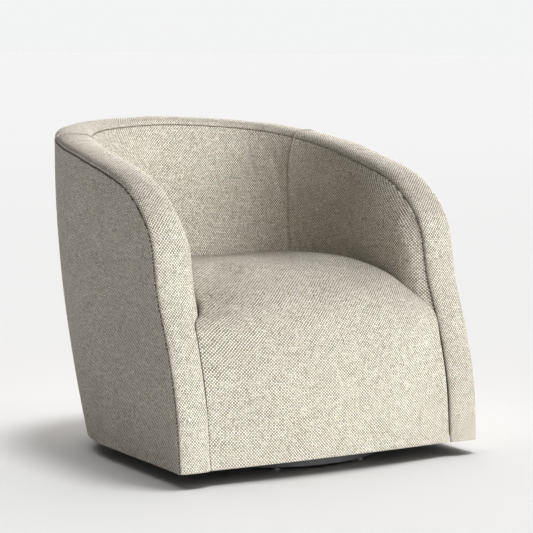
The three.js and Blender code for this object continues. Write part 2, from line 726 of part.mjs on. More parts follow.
function deckPad() {
  const front = apronInner(seatUnder) + FIT;
  const pad = block(
    new THREE.Vector3(-halfFrame, front, deckBottom),
    new THREE.Vector3(halfFrame, backRailMiddle + SEAT_RAIL_THICKNESS / 2, deckBottom + DECK_THICKNESS),
  );
  return cut(pad, ...padCutters);
}

function stretcher() {
  const halfLength = planAt(frameFoot).halfWidth - railDepth;
  const face = apronInner(frameFoot + STRETCHER_HEIGHT) + FIT;
  return block(
    new THREE.Vector3(-halfLength, face, frameFoot),
    new THREE.Vector3(halfLength, face + SEAT_RAIL_THICKNESS, frameFoot + STRETCHER_HEIGHT),
  );
}

const sideRail = block(
  new THREE.Vector3(halfFrame - SEAT_RAIL_THICKNESS, frontRailBack + FIT, seatRailBottom),
  new THREE.Vector3(halfFrame, backRailFace - FIT, seatFrameTop),
);

function seatPost(low) {
  return block(
    new THREE.Vector3(halfFrame - POST_SIZE, low, frameFoot),
    new THREE.Vector3(halfFrame, low + POST_SIZE, seatRailBottom - FIT),
  );
}

// Swivel base and bearing, about the axis

const halfTrack = [TRACK_RADIUS - TRACK_HALF_WIDTH, TRACK_RADIUS + TRACK_HALF_WIDTH];

// A square pressed plate with two ridges that guide the balls between them
function bearingPlate(bottom, ridgeRoot, ridgeTip, holes) {
  const half = PLATE_SIZE / 2;
  const inner = half - PLATE_CORNER;
  const shape = new THREE.Shape();
  shape.absarc(inner, inner, PLATE_CORNER, 0, Math.PI / 2, false);
  shape.absarc(-inner, inner, PLATE_CORNER, Math.PI / 2, Math.PI, false);
  shape.absarc(-inner, -inner, PLATE_CORNER, Math.PI, 1.5 * Math.PI, false);
  shape.absarc(inner, -inner, PLATE_CORNER, 1.5 * Math.PI, 2 * Math.PI, false);
  const ridges = [halfTrack[0] - TRACK_LIP, halfTrack[1]].map((radius) => turned([
    [radius, ridgeRoot], [radius + TRACK_LIP, ridgeRoot],
    [radius + TRACK_LIP, ridgeTip], [radius, ridgeTip],
  ], TRACK_SEGMENTS));
  return join(plate(shape, bottom, bottom + PLATE_THICKNESS, holes), ...ridges);
}

function ballCage() {
  const ring = turned([
    [TRACK_RADIUS - CAGE_HALF_WIDTH, ballCentre - CAGE_THICKNESS / 2],
    [TRACK_RADIUS + CAGE_HALF_WIDTH, ballCentre - CAGE_THICKNESS / 2],
    [TRACK_RADIUS + CAGE_HALF_WIDTH, ballCentre + CAGE_THICKNESS / 2],
    [TRACK_RADIUS - CAGE_HALF_WIDTH, ballCentre + CAGE_THICKNESS / 2],
  ], TRACK_SEGMENTS);
  const balls = Array.from({ length: BALL_COUNT }, (_, i) => {
    const angle = (2 * Math.PI * i) / BALL_COUNT;
    return new THREE.SphereGeometry(BALL_RADIUS, ...BALL_SEGMENTS)
      .rotateX(Math.PI / 2)
      .translate(TRACK_RADIUS * Math.cos(angle), TRACK_RADIUS * Math.sin(angle), ballCentre);
  });
  return join(ring, ...balls);
}

function swivelPin() {
  const bottom = lowerPlateBottom;
  const neck = upperPlateTop + FIT;
  const top = neck + PIN_HEAD_HEIGHT;
  return new THREE.LatheGeometry([
    [0, bottom], [PIN_RADIUS, bottom], [PIN_RADIUS, neck], [PIN_HEAD_RADIUS, neck],
    [PIN_HEAD_RADIUS, top - EDGE_ROUND], [PIN_HEAD_RADIUS - EDGE_ROUND, top], [0, top],
  ].map(([radius, height]) => new THREE.Vector2(radius, height)), 2 * SMALL_SEGMENTS).rotateX(Math.PI / 2);
}

// A bolt whose head hangs under the upper plate and whose shank is driven into the board
function bearingBolt([x, y]) {
  const seatAt = upperPlateBottom - FIT;
  const headBottom = seatAt - BOLT_HEAD_HEIGHT;
  return new THREE.LatheGeometry([
    [0, headBottom], [BOLT_HEAD_RADIUS, headBottom], [BOLT_HEAD_RADIUS, seatAt],
    [BOLT_RADIUS, seatAt], [BOLT_RADIUS, boardTop], [0, boardTop],
  ].map(([radius, height]) => new THREE.Vector2(radius, height)), SMALL_SEGMENTS)
    .rotateX(Math.PI / 2)
    .translate(x, y, 0);
}

const baseRing = turned([
  [ringInner, ringBottom], [RING_RADIUS - EDGE_ROUND, ringBottom], [RING_RADIUS, ringBottom + EDGE_ROUND],
  [RING_RADIUS, ringTop - EDGE_ROUND], [RING_RADIUS - EDGE_ROUND, ringTop], [ringInner, ringTop],
]);

// Two crossed flat bars and a round hub, ending against the inside of the ring
function baseCross() {
  const bottom = ringTop - CROSS_HEIGHT;
  const bar = block(
    new THREE.Vector3(-RING_RADIUS, -CROSS_BAR_WIDTH / 2, bottom),
    new THREE.Vector3(RING_RADIUS, CROSS_BAR_WIDTH / 2, ringTop),
  );
  const hub = disc(HUB_RADIUS, bottom, ringTop, ROUND_SEGMENTS);
  const crossed = join(bar.clone().rotateZ(Math.PI / 4), bar.clone().rotateZ(-Math.PI / 4), hub);
  return common(crossed, disc(ringInner - FIT, bottom - OVERRUN, ringTop + OVERRUN, ROUND_SEGMENTS));
}

function glide(index) {
  const angle = (2 * Math.PI * (index + 0.5)) / GLIDE_COUNT;
  const radius = RING_RADIUS - RING_WIDTH / 2;
  const [x, y] = [radius * Math.cos(angle), radius * Math.sin(angle)];
  return disc(GLIDE_RADIUS, 0, GLIDE_HEIGHT).translate(x, y, 0);
}

// Materials

const material = (color, roughness, metalness) => () => (
  new THREE.MeshStandardMaterial({ color, roughness, metalness }));
const tweed = material(0xd8d0c0, 0.95, 0);
const darkSteel = material(0x26262a, 0.45, 0.8);
const zincSteel = material(0xb4b6b8, 0.4, 0.9);
const springSteel = material(0x6d6f72, 0.35, 0.95);
const blackFelt = material(0x1b1b1c, 0.95, 0);
const blackPlastic = material(0x18181a, 0.6, 0);
const plywood = material(0xc9a876, 0.75, 0);
const padding = material(0xb9ab91, 0.95, 0);

const chair = new THREE.Group();
const swivel = new THREE.Group();
swivel.position.set(0, -AXIS_INSET, 0);
chair.add(swivel);

function add(group, name, geometry, makeMaterial) {
  const mesh = new THREE.Mesh(geometry, makeMaterial());
  mesh.name = name;
  group.add(mesh);
}

function addPair(name, geometry, makeMaterial) {
  add(chair, `${name}_right`, geometry, makeMaterial);
  add(chair, `${name}_left`, mirrored(geometry), makeMaterial);
}

// Base, standing still
add(swivel, 'base_ring', baseRing, darkSteel);
add(swivel, 'base_cross', baseCross(), darkSteel);
for (let i = 0; i < GLIDE_COUNT; i += 1) add(swivel, `glide_${i + 1}`, glide(i), blackPlastic);
add(swivel, 'bearing_lower', bearingPlate(
  lowerPlateBottom, lowerPlateBottom, lowerPlateTop + TRACK_RIDGE, [[0, 0, PIN_RADIUS + FIT]],
), zincSteel);
add(swivel, 'swivel_pin', swivelPin(), zincSteel);
add(swivel, 'bearing_cage', ballCage(), zincSteel);

// All that turns
add(swivel, 'bearing_upper', bearingPlate(
  upperPlateBottom, upperPlateBottom - TRACK_RIDGE, upperPlateTop,
  [[0, 0, PIN_RADIUS + PIN_CLEARANCE], ...boltHoles],
), zincSteel);
boltPlaces.forEach((place, i) => add(swivel, `bearing_bolt_${i + 1}`, bearingBolt(place), zincSteel));
add(chair, 'base_board', baseBoard(), plywood);
add(chair, 'dust_cover', dustCover(), blackFelt);
add(chair, 'front_stretcher', stretcher(), plywood);
add(chair, 'seat_rail_front', railWithClips(
  planAt(seatRailBottom).halfWidth - railDepth, frontRailFace, frontBar, -1,
), plywood);
add(chair, 'seat_rail_back', railWithClips(halfFrame, backRailFace, backBar, 1), plywood);
addPair('seat_rail', sideRail, plywood);
addPair('seat_post_front', seatPost(frontRailBack + FIT), plywood);
addPair('seat_post_back', seatPost(backRailFace - FIT - POST_SIZE), plywood);
RIB_SHARES.forEach((turn, i) => {
  if (turn === 0) add(chair, 'rib_middle', rib(turn), plywood);
  else addPair(`rib_${i}`, rib(turn), plywood);
});
add(chair, 'rim_rail_back', backRimRail, plywood);
addPair('rim_rail', sideRimRail, plywood);
springPlaces.forEach((x, i) => add(chair, `seat_spring_${i + 1}`, zigzagSpring(x), springSteel));
add(chair, 'deck_pad', deckPad(), padding);
add(chair, 'seat', seat, tweed);
add(chair, 'inside_back', backPad, tweed);
addPair('inside', sidePad, tweed);
add(chair, 'band_back', backBand, tweed);
addPair('band', sideBand, tweed);
add(chair, 'outside_back', backOutside, tweed);
addPair('outside', sideOutside, tweed);

export default chair;
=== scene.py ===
"""Upholstered barrel chair on a swivel ring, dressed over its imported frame.

Metres, +Z up, the sitter faces -Y. Left and right are as seen from the front, left -X.
A padded wall runs round the back and both arms. Its edge is one soft roll that comes down the
arms' fronts to the foot, and a tight seat with a full front is fitted between the arms.
"""

import logging
import math
from dataclasses import dataclass, field
from enum import Enum
from functools import lru_cache
from typing import Callable, Sequence

import bmesh
import bpy
import numpy as np
from mathutils import Matrix, Vector, noise


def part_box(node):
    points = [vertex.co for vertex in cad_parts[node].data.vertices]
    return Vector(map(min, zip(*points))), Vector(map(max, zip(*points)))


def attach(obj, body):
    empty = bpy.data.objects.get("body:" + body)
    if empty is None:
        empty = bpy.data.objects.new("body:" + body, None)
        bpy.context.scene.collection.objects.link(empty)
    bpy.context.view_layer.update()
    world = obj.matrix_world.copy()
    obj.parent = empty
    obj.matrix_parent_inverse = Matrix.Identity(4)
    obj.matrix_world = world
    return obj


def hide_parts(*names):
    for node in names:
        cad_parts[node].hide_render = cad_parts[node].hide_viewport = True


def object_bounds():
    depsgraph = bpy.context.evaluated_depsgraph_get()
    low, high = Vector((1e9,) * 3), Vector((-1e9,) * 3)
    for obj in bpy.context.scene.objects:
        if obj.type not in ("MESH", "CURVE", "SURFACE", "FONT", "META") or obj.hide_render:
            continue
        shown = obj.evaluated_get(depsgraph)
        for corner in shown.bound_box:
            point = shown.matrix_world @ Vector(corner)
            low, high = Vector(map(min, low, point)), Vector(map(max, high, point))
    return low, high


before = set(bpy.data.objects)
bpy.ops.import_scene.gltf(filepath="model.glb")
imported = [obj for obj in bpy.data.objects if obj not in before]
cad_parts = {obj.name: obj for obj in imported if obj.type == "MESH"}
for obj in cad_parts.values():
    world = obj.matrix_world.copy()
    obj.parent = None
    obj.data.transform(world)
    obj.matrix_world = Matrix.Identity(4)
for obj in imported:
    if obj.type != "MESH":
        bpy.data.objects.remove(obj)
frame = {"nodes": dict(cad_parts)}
CAD_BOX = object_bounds()

LOG = logging.getLogger("chair")

MM = 0.001
CHAIR_BODY = "chair"
WEAVE_MAP = "weave"
ROUND_STATION_SHARES = (0.0, 0.04, 0.14, 0.32, 0.6, 1.0)
FAR_FROM_CORNER = 30
WARM_TINT = (1.0, 0.96, 0.93)
PLAIN_TINT = (1.0, 1.0, 1.0)

Place = Callable[[float, float], Vector]
Chart = Callable[[float, float], tuple[float, float]]


class Side(Enum):
    """The two halves of the chair, by the sign of their X."""

    RIGHT = 1
    LEFT = -1

    @property
    def label(self) -> str:
        """The side's word in the names of pieces and nodes."""
        return self.name.lower()


def mix(first: float, last: float, share: float) -> float:
    """A value at a share of the way from first to last.

    Args:
        first: Value at share 0.
        last: Value at share 1.
        share: Share of the way.

    Returns:
        The value in between.
    """
    return first + (last - first) * share


def clamp01(value: float) -> float:
    """The value, held between 0 and 1."""
    return min(max(value, 0.0), 1.0)


def smooth(value: float) -> float:
    """A soft step from 0 to 1 as the value goes from 0 to 1."""
    held = clamp01(value)
    return held * held * (3 - 2 * held)


def soft_over(value: float, radius: float) -> float:
    """How far a value stands over zero, with the corner at zero rounded.

    Args:
        value: Signed distance.
        radius: Size of the rounding.

    Returns:
        Nearly zero below zero, and nearly the value itself above it.
    """
    scaled = value / radius
    if scaled > FAR_FROM_CORNER:
        return value
    return radius * math.log1p(math.exp(scaled))


def roll_off(distance: float, radius: float) -> float:
    """Depth of a quarter-round edge at a distance in from it.

    Args:
        distance: Distance from the edge.
        radius: Radius of the round.

    Returns:
        The radius at the edge itself, falling to zero at the radius's distance.
    """
    near = clamp01(1 - distance / radius)
    return radius * (1 - math.sqrt(1 - near * near))


def ripple(place: Vector, length: float, height: float, stretch: Sequence[float] = (1, 1, 1)) -> float:
    """Gentle unevenness of stuffed cloth.

    Args:
        place: Point on the surface.
        length: Rough distance between bumps.
        height: Largest height of a bump.
        stretch: How much slower it changes along each axis.

    Returns:
        Height to add along the surface's normal.
    """
    scaled = Vector([value / (length * factor) for value, factor in zip(place, stretch)])
    return height * noise.noise(scaled)


def eased(length: float, step: float, round_radius: float) -> list[float]:
    """Shares of a run with close stations inside the round of both ends.

    Args:
        length: Length of the run.
        step: Largest distance between stations.
        round_radius: Radius of the rounds at the ends.

    Returns:
        Shares from 0 to 1.
    """
    near = [round_radius * share / length for share in ROUND_STATION_SHARES]
    inner = max(int((length - 2 * round_radius) / step), 2)
    middle = [mix(near[-1], 1 - near[-1], k / inner) for k in range(1, inner)]
    return near + middle + [1 - share for share in reversed(near)]


def run_lengths(points: Sequence[Sequence[float]]) -> np.ndarray:
    """Lengths along a row of points.

    Args:
        points: The points in order.

    Returns:
        Length from the first point to each of them.
    """
    steps = np.linalg.norm(np.diff(np.array(points), axis=0), axis=1)
    return np.concatenate([[0], np.cumsum(steps)])


class Curve:
    """A smooth curve through points, with centripetal spacing."""

    def __init__(self, points: Sequence[Sequence[float]]) -> None:
        """Keeps the points.

        Args:
            points: Points that the curve passes through.
        """
        self.points = [Vector(point) for point in points]

    @lru_cache(maxsize=None)
    def at(self, share: float) -> Vector:
        """Point at a share of the curve's run.

        Args:
            share: Share from 0 to 1, each span counting the same.

        Returns:
            The point.
        """
        spans = len(self.points) - 1
        place = clamp01(share) * spans
        index = min(int(place), spans - 1)
        weight = place - index
        second, third = self.points[index], self.points[index + 1]
        first = self.points[index - 1] if index > 0 else second * 2 - third
        fourth = self.points[index + 2] if index + 2 <= spans else third * 2 - second
        before = (second - first).length ** 0.5
        inside = (third - second).length ** 0.5
        after = (fourth - third).length ** 0.5
        leave = (second - first) / before - (third - first) / (before + inside) + (third - second) / inside
        arrive = (third - second) / inside - (fourth - second) / (inside + after) + (fourth - third) / after
        leave, arrive = leave * inside, arrive * inside
        square = 3 * (third - second) - 2 * leave - arrive
        cube = 2 * (second - third) + leave + arrive
        return second + leave * weight + square * weight ** 2 + cube * weight ** 3


@dataclass(eq=False)
class Wall:
    """The outer wall of the chair and the line of its edge.

    A place on it is a plan turn (0 at the middle of the back, 1 at the widest place, more along
    the straight arm) and a height. A share runs along the edge line from the back to the foot.
    """

    width: float
    depth: float
    height: float
    lift: float = 30 * MM
    plan_power: float = 2.5
    flare_power: float = 2.0
    flare_drop: float = 60 * MM
    foot_side_inset: float = 4 * MM
    foot_back_inset: float = 214 * MM
    foot_plan_inset: float = 90 * MM
    arm_run_share: float = 0.5765
    band_width: float = 86 * MM
    band_foot_width: float = 72 * MM
    band_rise: float = 16 * MM
    band_foot_rise: float = 10 * MM
    band_round_share: float = 0.65
    narrowing_shares: tuple[float, float] = (0.49, 0.91)
    seam_turn_share: float = 0.72
    shoulder_share: float = 0.686
    rail_shares: tuple[tuple[float, float], ...] = (
        (0, 1), (0.16, 0.994), (0.377, 0.984), (0.602, 0.969), (0.801, 0.945), (0.962, 0.917),
        (1, 0.9035), (1.159, 0.877), (1.398, 0.82), (1.568, 0.699), (1.607, 0.525),
        (1.667, 0.355), (1.687, 0.18), (1.65, 0),
    )
    table_length: int = 1200
    last_turn: float = 2.0
    step: float = 0.001
    passes: int = 4
    tiny: float = 1e-9

    def __post_init__(self) -> None:
        """Works out the tables that turn places into shares."""
        self.rail = Curve([(turn, height, 0) for turn, height in self.rail_shares])
        self.shares = np.linspace(0, 1, self.table_length + 1)
        places = [self.edge(share) for share in self.shares]
        self.turns = np.array([turn for turn, _ in places])
        self.heights = np.array([height for _, height in places])
        arm = self.shares <= self.shoulder_share
        self.arm_shares, self.arm_turns = self.shares[arm], self.turns[arm]
        self.edge_runs = run_lengths([self.at(*place)[0][:] for place in places])
        self.plan_turns = np.linspace(0, self.last_turn, self.table_length + 1)
        self.plan_runs = run_lengths([self.at(turn, self.height / 2)[0][:] for turn in self.plan_turns])

    @property
    def arm_run(self) -> float:
        """Length of arm that one turn stands for."""
        return self.depth * self.arm_run_share

    def plan(self, height: float) -> tuple[float, float, float]:
        """Half width, back reach and centre of the wall's plan at a height.

        Args:
            height: Height over the floor.

        Returns:
            Half width, reach behind the centre, and the centre's Y.
        """
        rise = clamp01((height - self.lift) / (self.height - self.flare_drop - self.lift))
        flare = 1 - (1 - rise) ** self.flare_power
        foot_back = self.depth / 2 - self.foot_back_inset + self.foot_plan_inset
        half_width = mix(self.width / 2 - self.foot_side_inset, self.width / 2, flare)
        return half_width, mix(foot_back, self.depth / 2, flare), mix(-self.foot_plan_inset, 0, flare)

    @lru_cache(maxsize=None)
    def at(self, turn: float, height: float) -> tuple[Vector, Vector]:
        """Point of the wall and its level outward direction.

        Args:
            turn: Plan turn, negative on the left.
            height: Height over the floor.

        Returns:
            The point and the direction.
        """
        half_width, back, centre = self.plan(height)
        angle = min(abs(turn), 1) * math.pi / 2
        side = math.copysign(1, turn)
        across_share = math.sin(angle) ** (2 / self.plan_power)
        back_share = max(math.cos(angle), 0) ** (2 / self.plan_power)
        forward = max(abs(turn) - 1, 0) * self.arm_run
        point = Vector((side * half_width * across_share, centre + back * back_share - forward, height))
        lean = back_share ** (self.plan_power - 1) / back if abs(turn) < 1 else 0
        out = Vector((side * across_share ** (self.plan_power - 1) / half_width, lean, 0))
        return point, out.normalized()

    def under(self, turn: float, height: float, depth: float) -> Vector:
        """Point at a depth under the wall's face."""
        point, out = self.at(turn, height)
        return point - out * depth

    def locate(self, point: Vector) -> tuple[float, float]:
        """Plan turn and depth of a point under the wall.

        Args:
            point: Any point inside the wall's plan.

        Returns:
            Turn and depth.
        """
        half_width, back, centre = self.plan(point.z)
        probe = point.copy()
        turn = depth = 0.0
        for _ in range(self.passes):
            side = math.copysign(1, probe.x)
            if probe.y < centre:
                turn = side * (1 + (centre - probe.y) / self.arm_run)
            else:
                across, behind = abs(probe.x) / half_width, (probe.y - centre) / back
                reach = (across ** self.plan_power + behind ** self.plan_power) ** (1 / self.plan_power)
                angle = math.asin(min((across / max(reach, self.tiny)) ** (self.plan_power / 2), 1))
                turn = side * angle * 2 / math.pi
            surface, out = self.at(turn, point.z)
            depth = (surface - point).dot(out)
            probe = point + out * depth
        return turn, depth

    def edge(self, share: float) -> tuple[float, float]:
        """Plan turn and height of the edge line.

        Args:
            share: Share of its run, negative on the left.

        Returns:
            Turn and height.
        """
        place = self.rail.at(abs(share))
        top = self.height - self.band_rise
        return math.copysign(place.x, share), mix(self.lift, top, place.y)

    @lru_cache(maxsize=None)
    def edge_frame(self, share: float) -> tuple[Vector, Vector, Vector]:
        """Point of the edge line with its directions out of and on past the wall.

        Args:
            share: Share of the edge line, negative on the left.

        Returns:
            The point, the outward direction and the onward direction.
        """
        point, out = self.at(*self.edge(share))
        ahead = min(share + self.step, 1)
        after = self.at(*self.edge(ahead))[0]
        before = self.at(*self.edge(ahead - 2 * self.step))[0]
        beyond = (after - before).normalized().cross(out).normalized()
        if abs(share) == 1:
            beyond.z = 0
            beyond.normalize()
        return point, out, beyond

    def edge_point(self, share: float, outward: float, onward: float) -> Vector:
        """Point set off from the edge line."""
        point, out, beyond = self.edge_frame(share)
        return point + out * outward + beyond * onward

    @lru_cache(maxsize=None)
    def inset(self, share: float, inset: float) -> tuple[float, float]:
        """Turn and height of the edge line drawn in from the wall's edge.

        Args:
            share: Share of the edge line.
            inset: Distance in from the edge.

        Returns:
            Turn and height.
        """
        turn, height = self.edge(share)
        beyond = self.edge_frame(share)[2]
        level = self.at(turn + self.step, height)[0] - self.at(turn - self.step, height)[0]
        per_turn = level.length / (2 * self.step)
        return turn - inset * beyond.dot(level.normalized()) / per_turn, height - inset * beyond.z

    def share_at_turn(self, turn: float) -> float:
        """Share of the edge line over the arm that has a plan turn."""
        return float(np.interp(turn, self.arm_turns, self.arm_shares))

    def share_at_height(self, height: float) -> float:
        """Share of the edge line that has a height."""
        return float(np.interp(-height, -self.heights, self.shares))

    @lru_cache(maxsize=None)
    def band_sizes(self, share: float) -> tuple[float, float]:
        """Width and rise of the edge roll.

        Args:
            share: Share of the edge line.

        Returns:
            Width and rise.
        """
        first, last = self.narrowing_shares
        narrowing = smooth((abs(share) - first) / (last - first))
        width = mix(self.band_width, self.band_foot_width, narrowing)
        return width, mix(self.band_rise, self.band_foot_rise, narrowing)

    def edge_run(self, share: float) -> float:
        """Length along the edge line from the middle of the back, negative on the left."""
        return math.copysign(float(np.interp(abs(share), self.shares, self.edge_runs)), share)

    def run(self, turn: float) -> float:
        """Length along the wall's plan from the middle of the back to a turn."""
        return math.copysign(float(np.interp(abs(turn), self.plan_turns, self.plan_runs)), turn)


@dataclass
class PadShape:
    """How deep the inside pads' faces lie under the outer wall."""

    wall: Wall
    crown: float = 18 * MM
    crown_run: float = 80 * MM
    arm_crown: float = 38 * MM
    arm_roll: float = 46 * MM
    tucked_run: float = 15 * MM
    arm_crown_turn_shares: tuple[float, float] = (0.95, 1.3)
    back_lean_share: float = 0.14
    seam_lean_share: float = 0.04

    def width(self, turn: float, height: float) -> float:
        """Width of the edge roll that the pad's face continues from.

        Args:
            turn: Plan turn.
            height: Height over the floor.

        Returns:
            The width.
        """
        front_share = self.wall.share_at_height(height)
        front_turn = abs(self.wall.edge(front_share)[0])
        front_width = self.wall.band_sizes(front_share)[0]
        if front_turn <= 1:
            return front_width
        return mix(self.wall.band_width, front_width, smooth((abs(turn) - 1) / (front_turn - 1)))

    def depth(self, turn: float, height: float) -> float:
        """Depth of the pad's face under the outer wall.

        Args:
            turn: Plan turn.
            height: Height over the floor.

        Returns:
            Depth, larger where the pad is thicker.
        """
        wall = self.wall
        beside = abs(turn)
        shoulder_turn, shoulder_height = wall.edge(wall.shoulder_share)
        rim = wall.edge(wall.share_at_turn(min(beside, shoulder_turn)))[1]
        drop = max(rim - height, 0)
        front_turn = wall.edge(wall.share_at_height(min(height, shoulder_height)))[0]
        front = (front_turn - beside) * wall.arm_run + max(height - shoulder_height, 0)
        crown_start, crown_end = self.arm_crown_turn_shares
        crown = mix(self.crown, self.arm_crown, smooth((beside - crown_start) / (crown_end - crown_start)))
        seam = wall.seam_turn_share
        if beside < seam:
            lean_share = mix(self.back_lean_share, self.seam_lean_share, smooth(beside / seam))
        else:
            lean_share = self.seam_lean_share * (1 - smooth((beside - seam) / (1 - seam)))
        fullness = self.fullness(drop, self.crown_run) * self.fullness(front, self.arm_roll)
        fullness *= smooth(front / self.tucked_run)
        return self.width(turn, height) + crown * fullness + lean_share * drop

    def fullness(self, distance: float, run: float) -> float:
        """Share of the crown reached at a distance in from the pad's edge."""
        return 1 - (1 - clamp01(distance / run)) ** 2

    def roll_length(self, turn: float, height: float) -> float:
        """Extra length of cloth from the arm's roll to its front, over the wall's own.

        Args:
            turn: Plan turn.
            height: Height over the floor.

        Returns:
            How much longer the cloth's way is at this place than along the wall.
        """
        wall = self.wall
        shoulder_height = wall.edge(wall.shoulder_share)[1]
        front_turn = wall.edge(wall.share_at_height(min(height, shoulder_height)))[0]
        front = (front_turn - abs(turn)) * wall.arm_run + max(height - shoulder_height, 0)
        near = 1 - clamp01(front / self.arm_roll)
        slope = 2 * self.arm_crown / self.arm_roll * near
        if slope == 0:
            return 0
        run = self.arm_roll * near
        return run * ((math.sqrt(1 + slope ** 2) + math.asinh(slope) / slope) / 2 - 1)


def laid_out(across: Sequence[float], along: Sequence[float], face: Place, back: Place,
             chart: Chart) -> bmesh.types.BMesh:
    """A closed soft slab between two faces, from one extruded grid.

    Args:
        across: Shares of its columns.
        along: Shares of its rows.
        face: Place of the outer face at shares across and along.
        back: Place of the hidden face.
        chart: Cloth place in metres at shares across and along.

    Returns:
        The mesh, with the cloth places in its map.
    """
    mesh = bmesh.new()
    bmesh.ops.create_grid(mesh, x_segments=len(across) - 1, y_segments=len(along) - 1, size=1)
    result = bmesh.ops.extrude_face_region(mesh, geom=mesh.faces[:])
    raised = {item for item in result["geom"] if isinstance(item, bmesh.types.BMVert)}
    shares = {}
    for vert in mesh.verts:
        column = round((vert.co.x + 1) / 2 * (len(across) - 1))
        row = round((vert.co.y + 1) / 2 * (len(along) - 1))
        shares[vert] = (across[column], along[row])
    for vert, (u, v) in shares.items():
        vert.co = face(u, v) if vert in raised else back(u, v)
    cloth = mesh.loops.layers.uv.new(WEAVE_MAP)
    charted = {place: chart(*place) for place in set(shares.values())}
    for surface in mesh.faces:
        surface.smooth = True
        for loop in surface.loops:
            loop[cloth].uv = charted[shares[loop.vert]]
    bmesh.ops.recalc_face_normals(mesh, faces=mesh.faces[:])
    return mesh


def swept(line: Sequence[Vector], radius: float, sides: int, cloth_share: float) -> bmesh.types.BMesh:
    """A closed round cord along a line, from one extruded disc.

    Args:
        line: Points of the cord's middle.
        radius: Radius of the cord.
        sides: Sides of its section.
        cloth_share: Cloth metres that its map gives to a metre, more than 1 for a finer weave.

    Returns:
        The mesh, with cloth places in its map.
    """
    mesh = bmesh.new()
    bmesh.ops.create_circle(mesh, cap_ends=True, segments=sides, radius=radius)
    ahead = [(line[min(k + 1, len(line) - 1)] - line[max(k - 1, 0)]).normalized() for k in range(len(line))]
    places = [Matrix.Translation(point) @ way.to_track_quat("Z", "Y").to_matrix().to_4x4()
              for point, way in zip(line, ahead)]
    bmesh.ops.transform(mesh, matrix=places[0], verts=mesh.verts[:])
    cap = mesh.faces[:]
    for before, after in zip(places, places[1:]):
        grown = bmesh.ops.extrude_face_region(mesh, geom=cap)["geom"]
        ring = [item for item in grown if isinstance(item, bmesh.types.BMVert)]
        cap = [item for item in grown if isinstance(item, bmesh.types.BMFace)]
        bmesh.ops.transform(mesh, matrix=after @ before.inverted(), verts=ring)
    bmesh.ops.recalc_face_normals(mesh, faces=mesh.faces[:])
    cloth = mesh.loops.layers.uv.new(WEAVE_MAP)
    for surface in mesh.faces:
        surface.smooth = True
        for loop in surface.loops:
            place = loop.vert.co * cloth_share
            loop[cloth].uv = (place.x + place.y, place.z)
    return mesh


def finished(name: str, mesh: bmesh.types.BMesh) -> bpy.types.Object:
    """A scene object that holds a finished mesh.

    Args:
        name: Name of the piece.
        mesh: Its mesh, which is used up.

    Returns:
        The object, linked to the scene at the origin.
    """
    data = bpy.data.meshes.new(name)
    mesh.to_mesh(data)
    mesh.free()
    piece = bpy.data.objects.new(name, data)
    bpy.context.scene.collection.objects.link(piece)
    return piece


def subdivided(piece: bpy.types.Object, levels: int) -> None:
    """Adds a subdivision surface with the same levels on screen and in renders.

    Args:
        piece: The piece.
        levels: How often its faces are divided.
    """
    modifier = piece.modifiers.new("rounding", "SUBSURF")
    modifier.levels = levels
    modifier.render_levels = levels


class Tree:
    """A node tree, with short calls to add nodes."""

    def __init__(self, tree: bpy.types.NodeTree) -> None:
        """Empties the tree and keeps it."""
        tree.nodes.clear()
        self.tree = tree

    def node(self, kind: str, sockets: dict | None = None, **settings: object) -> bpy.types.Node:
        """Adds a node.

        Args:
            kind: Node type without its prefix.
            sockets: Input name or number to a value or to another node's output.
            **settings: The node's own properties.

        Returns:
            The node.
        """
        node = self.tree.nodes.new("ShaderNode" + kind)
        for key, value in settings.items():
            setattr(node, key, value)
        for key, value in (sockets or {}).items():
            self.feed(node.inputs[key], value)
        return node

    def feed(self, target: bpy.types.NodeSocket, value: object) -> None:
        """Joins an input to another node's output, or sets its own value.

        Args:
            target: The input.
            value: Output socket, number, vector or colour, which may leave its alpha out.
        """
        if isinstance(value, bpy.types.NodeSocket):
            self.tree.links.new(value, target)
        elif target.type == "RGBA":
            target.default_value = (*value[:3], 1)
        else:
            target.default_value = value

    def math(self, operation: str, *values: object) -> bpy.types.NodeSocket:
        """Output of a math node on one to three values or sockets."""
        return self.node("Math", dict(enumerate(values)), operation=operation).outputs[0]


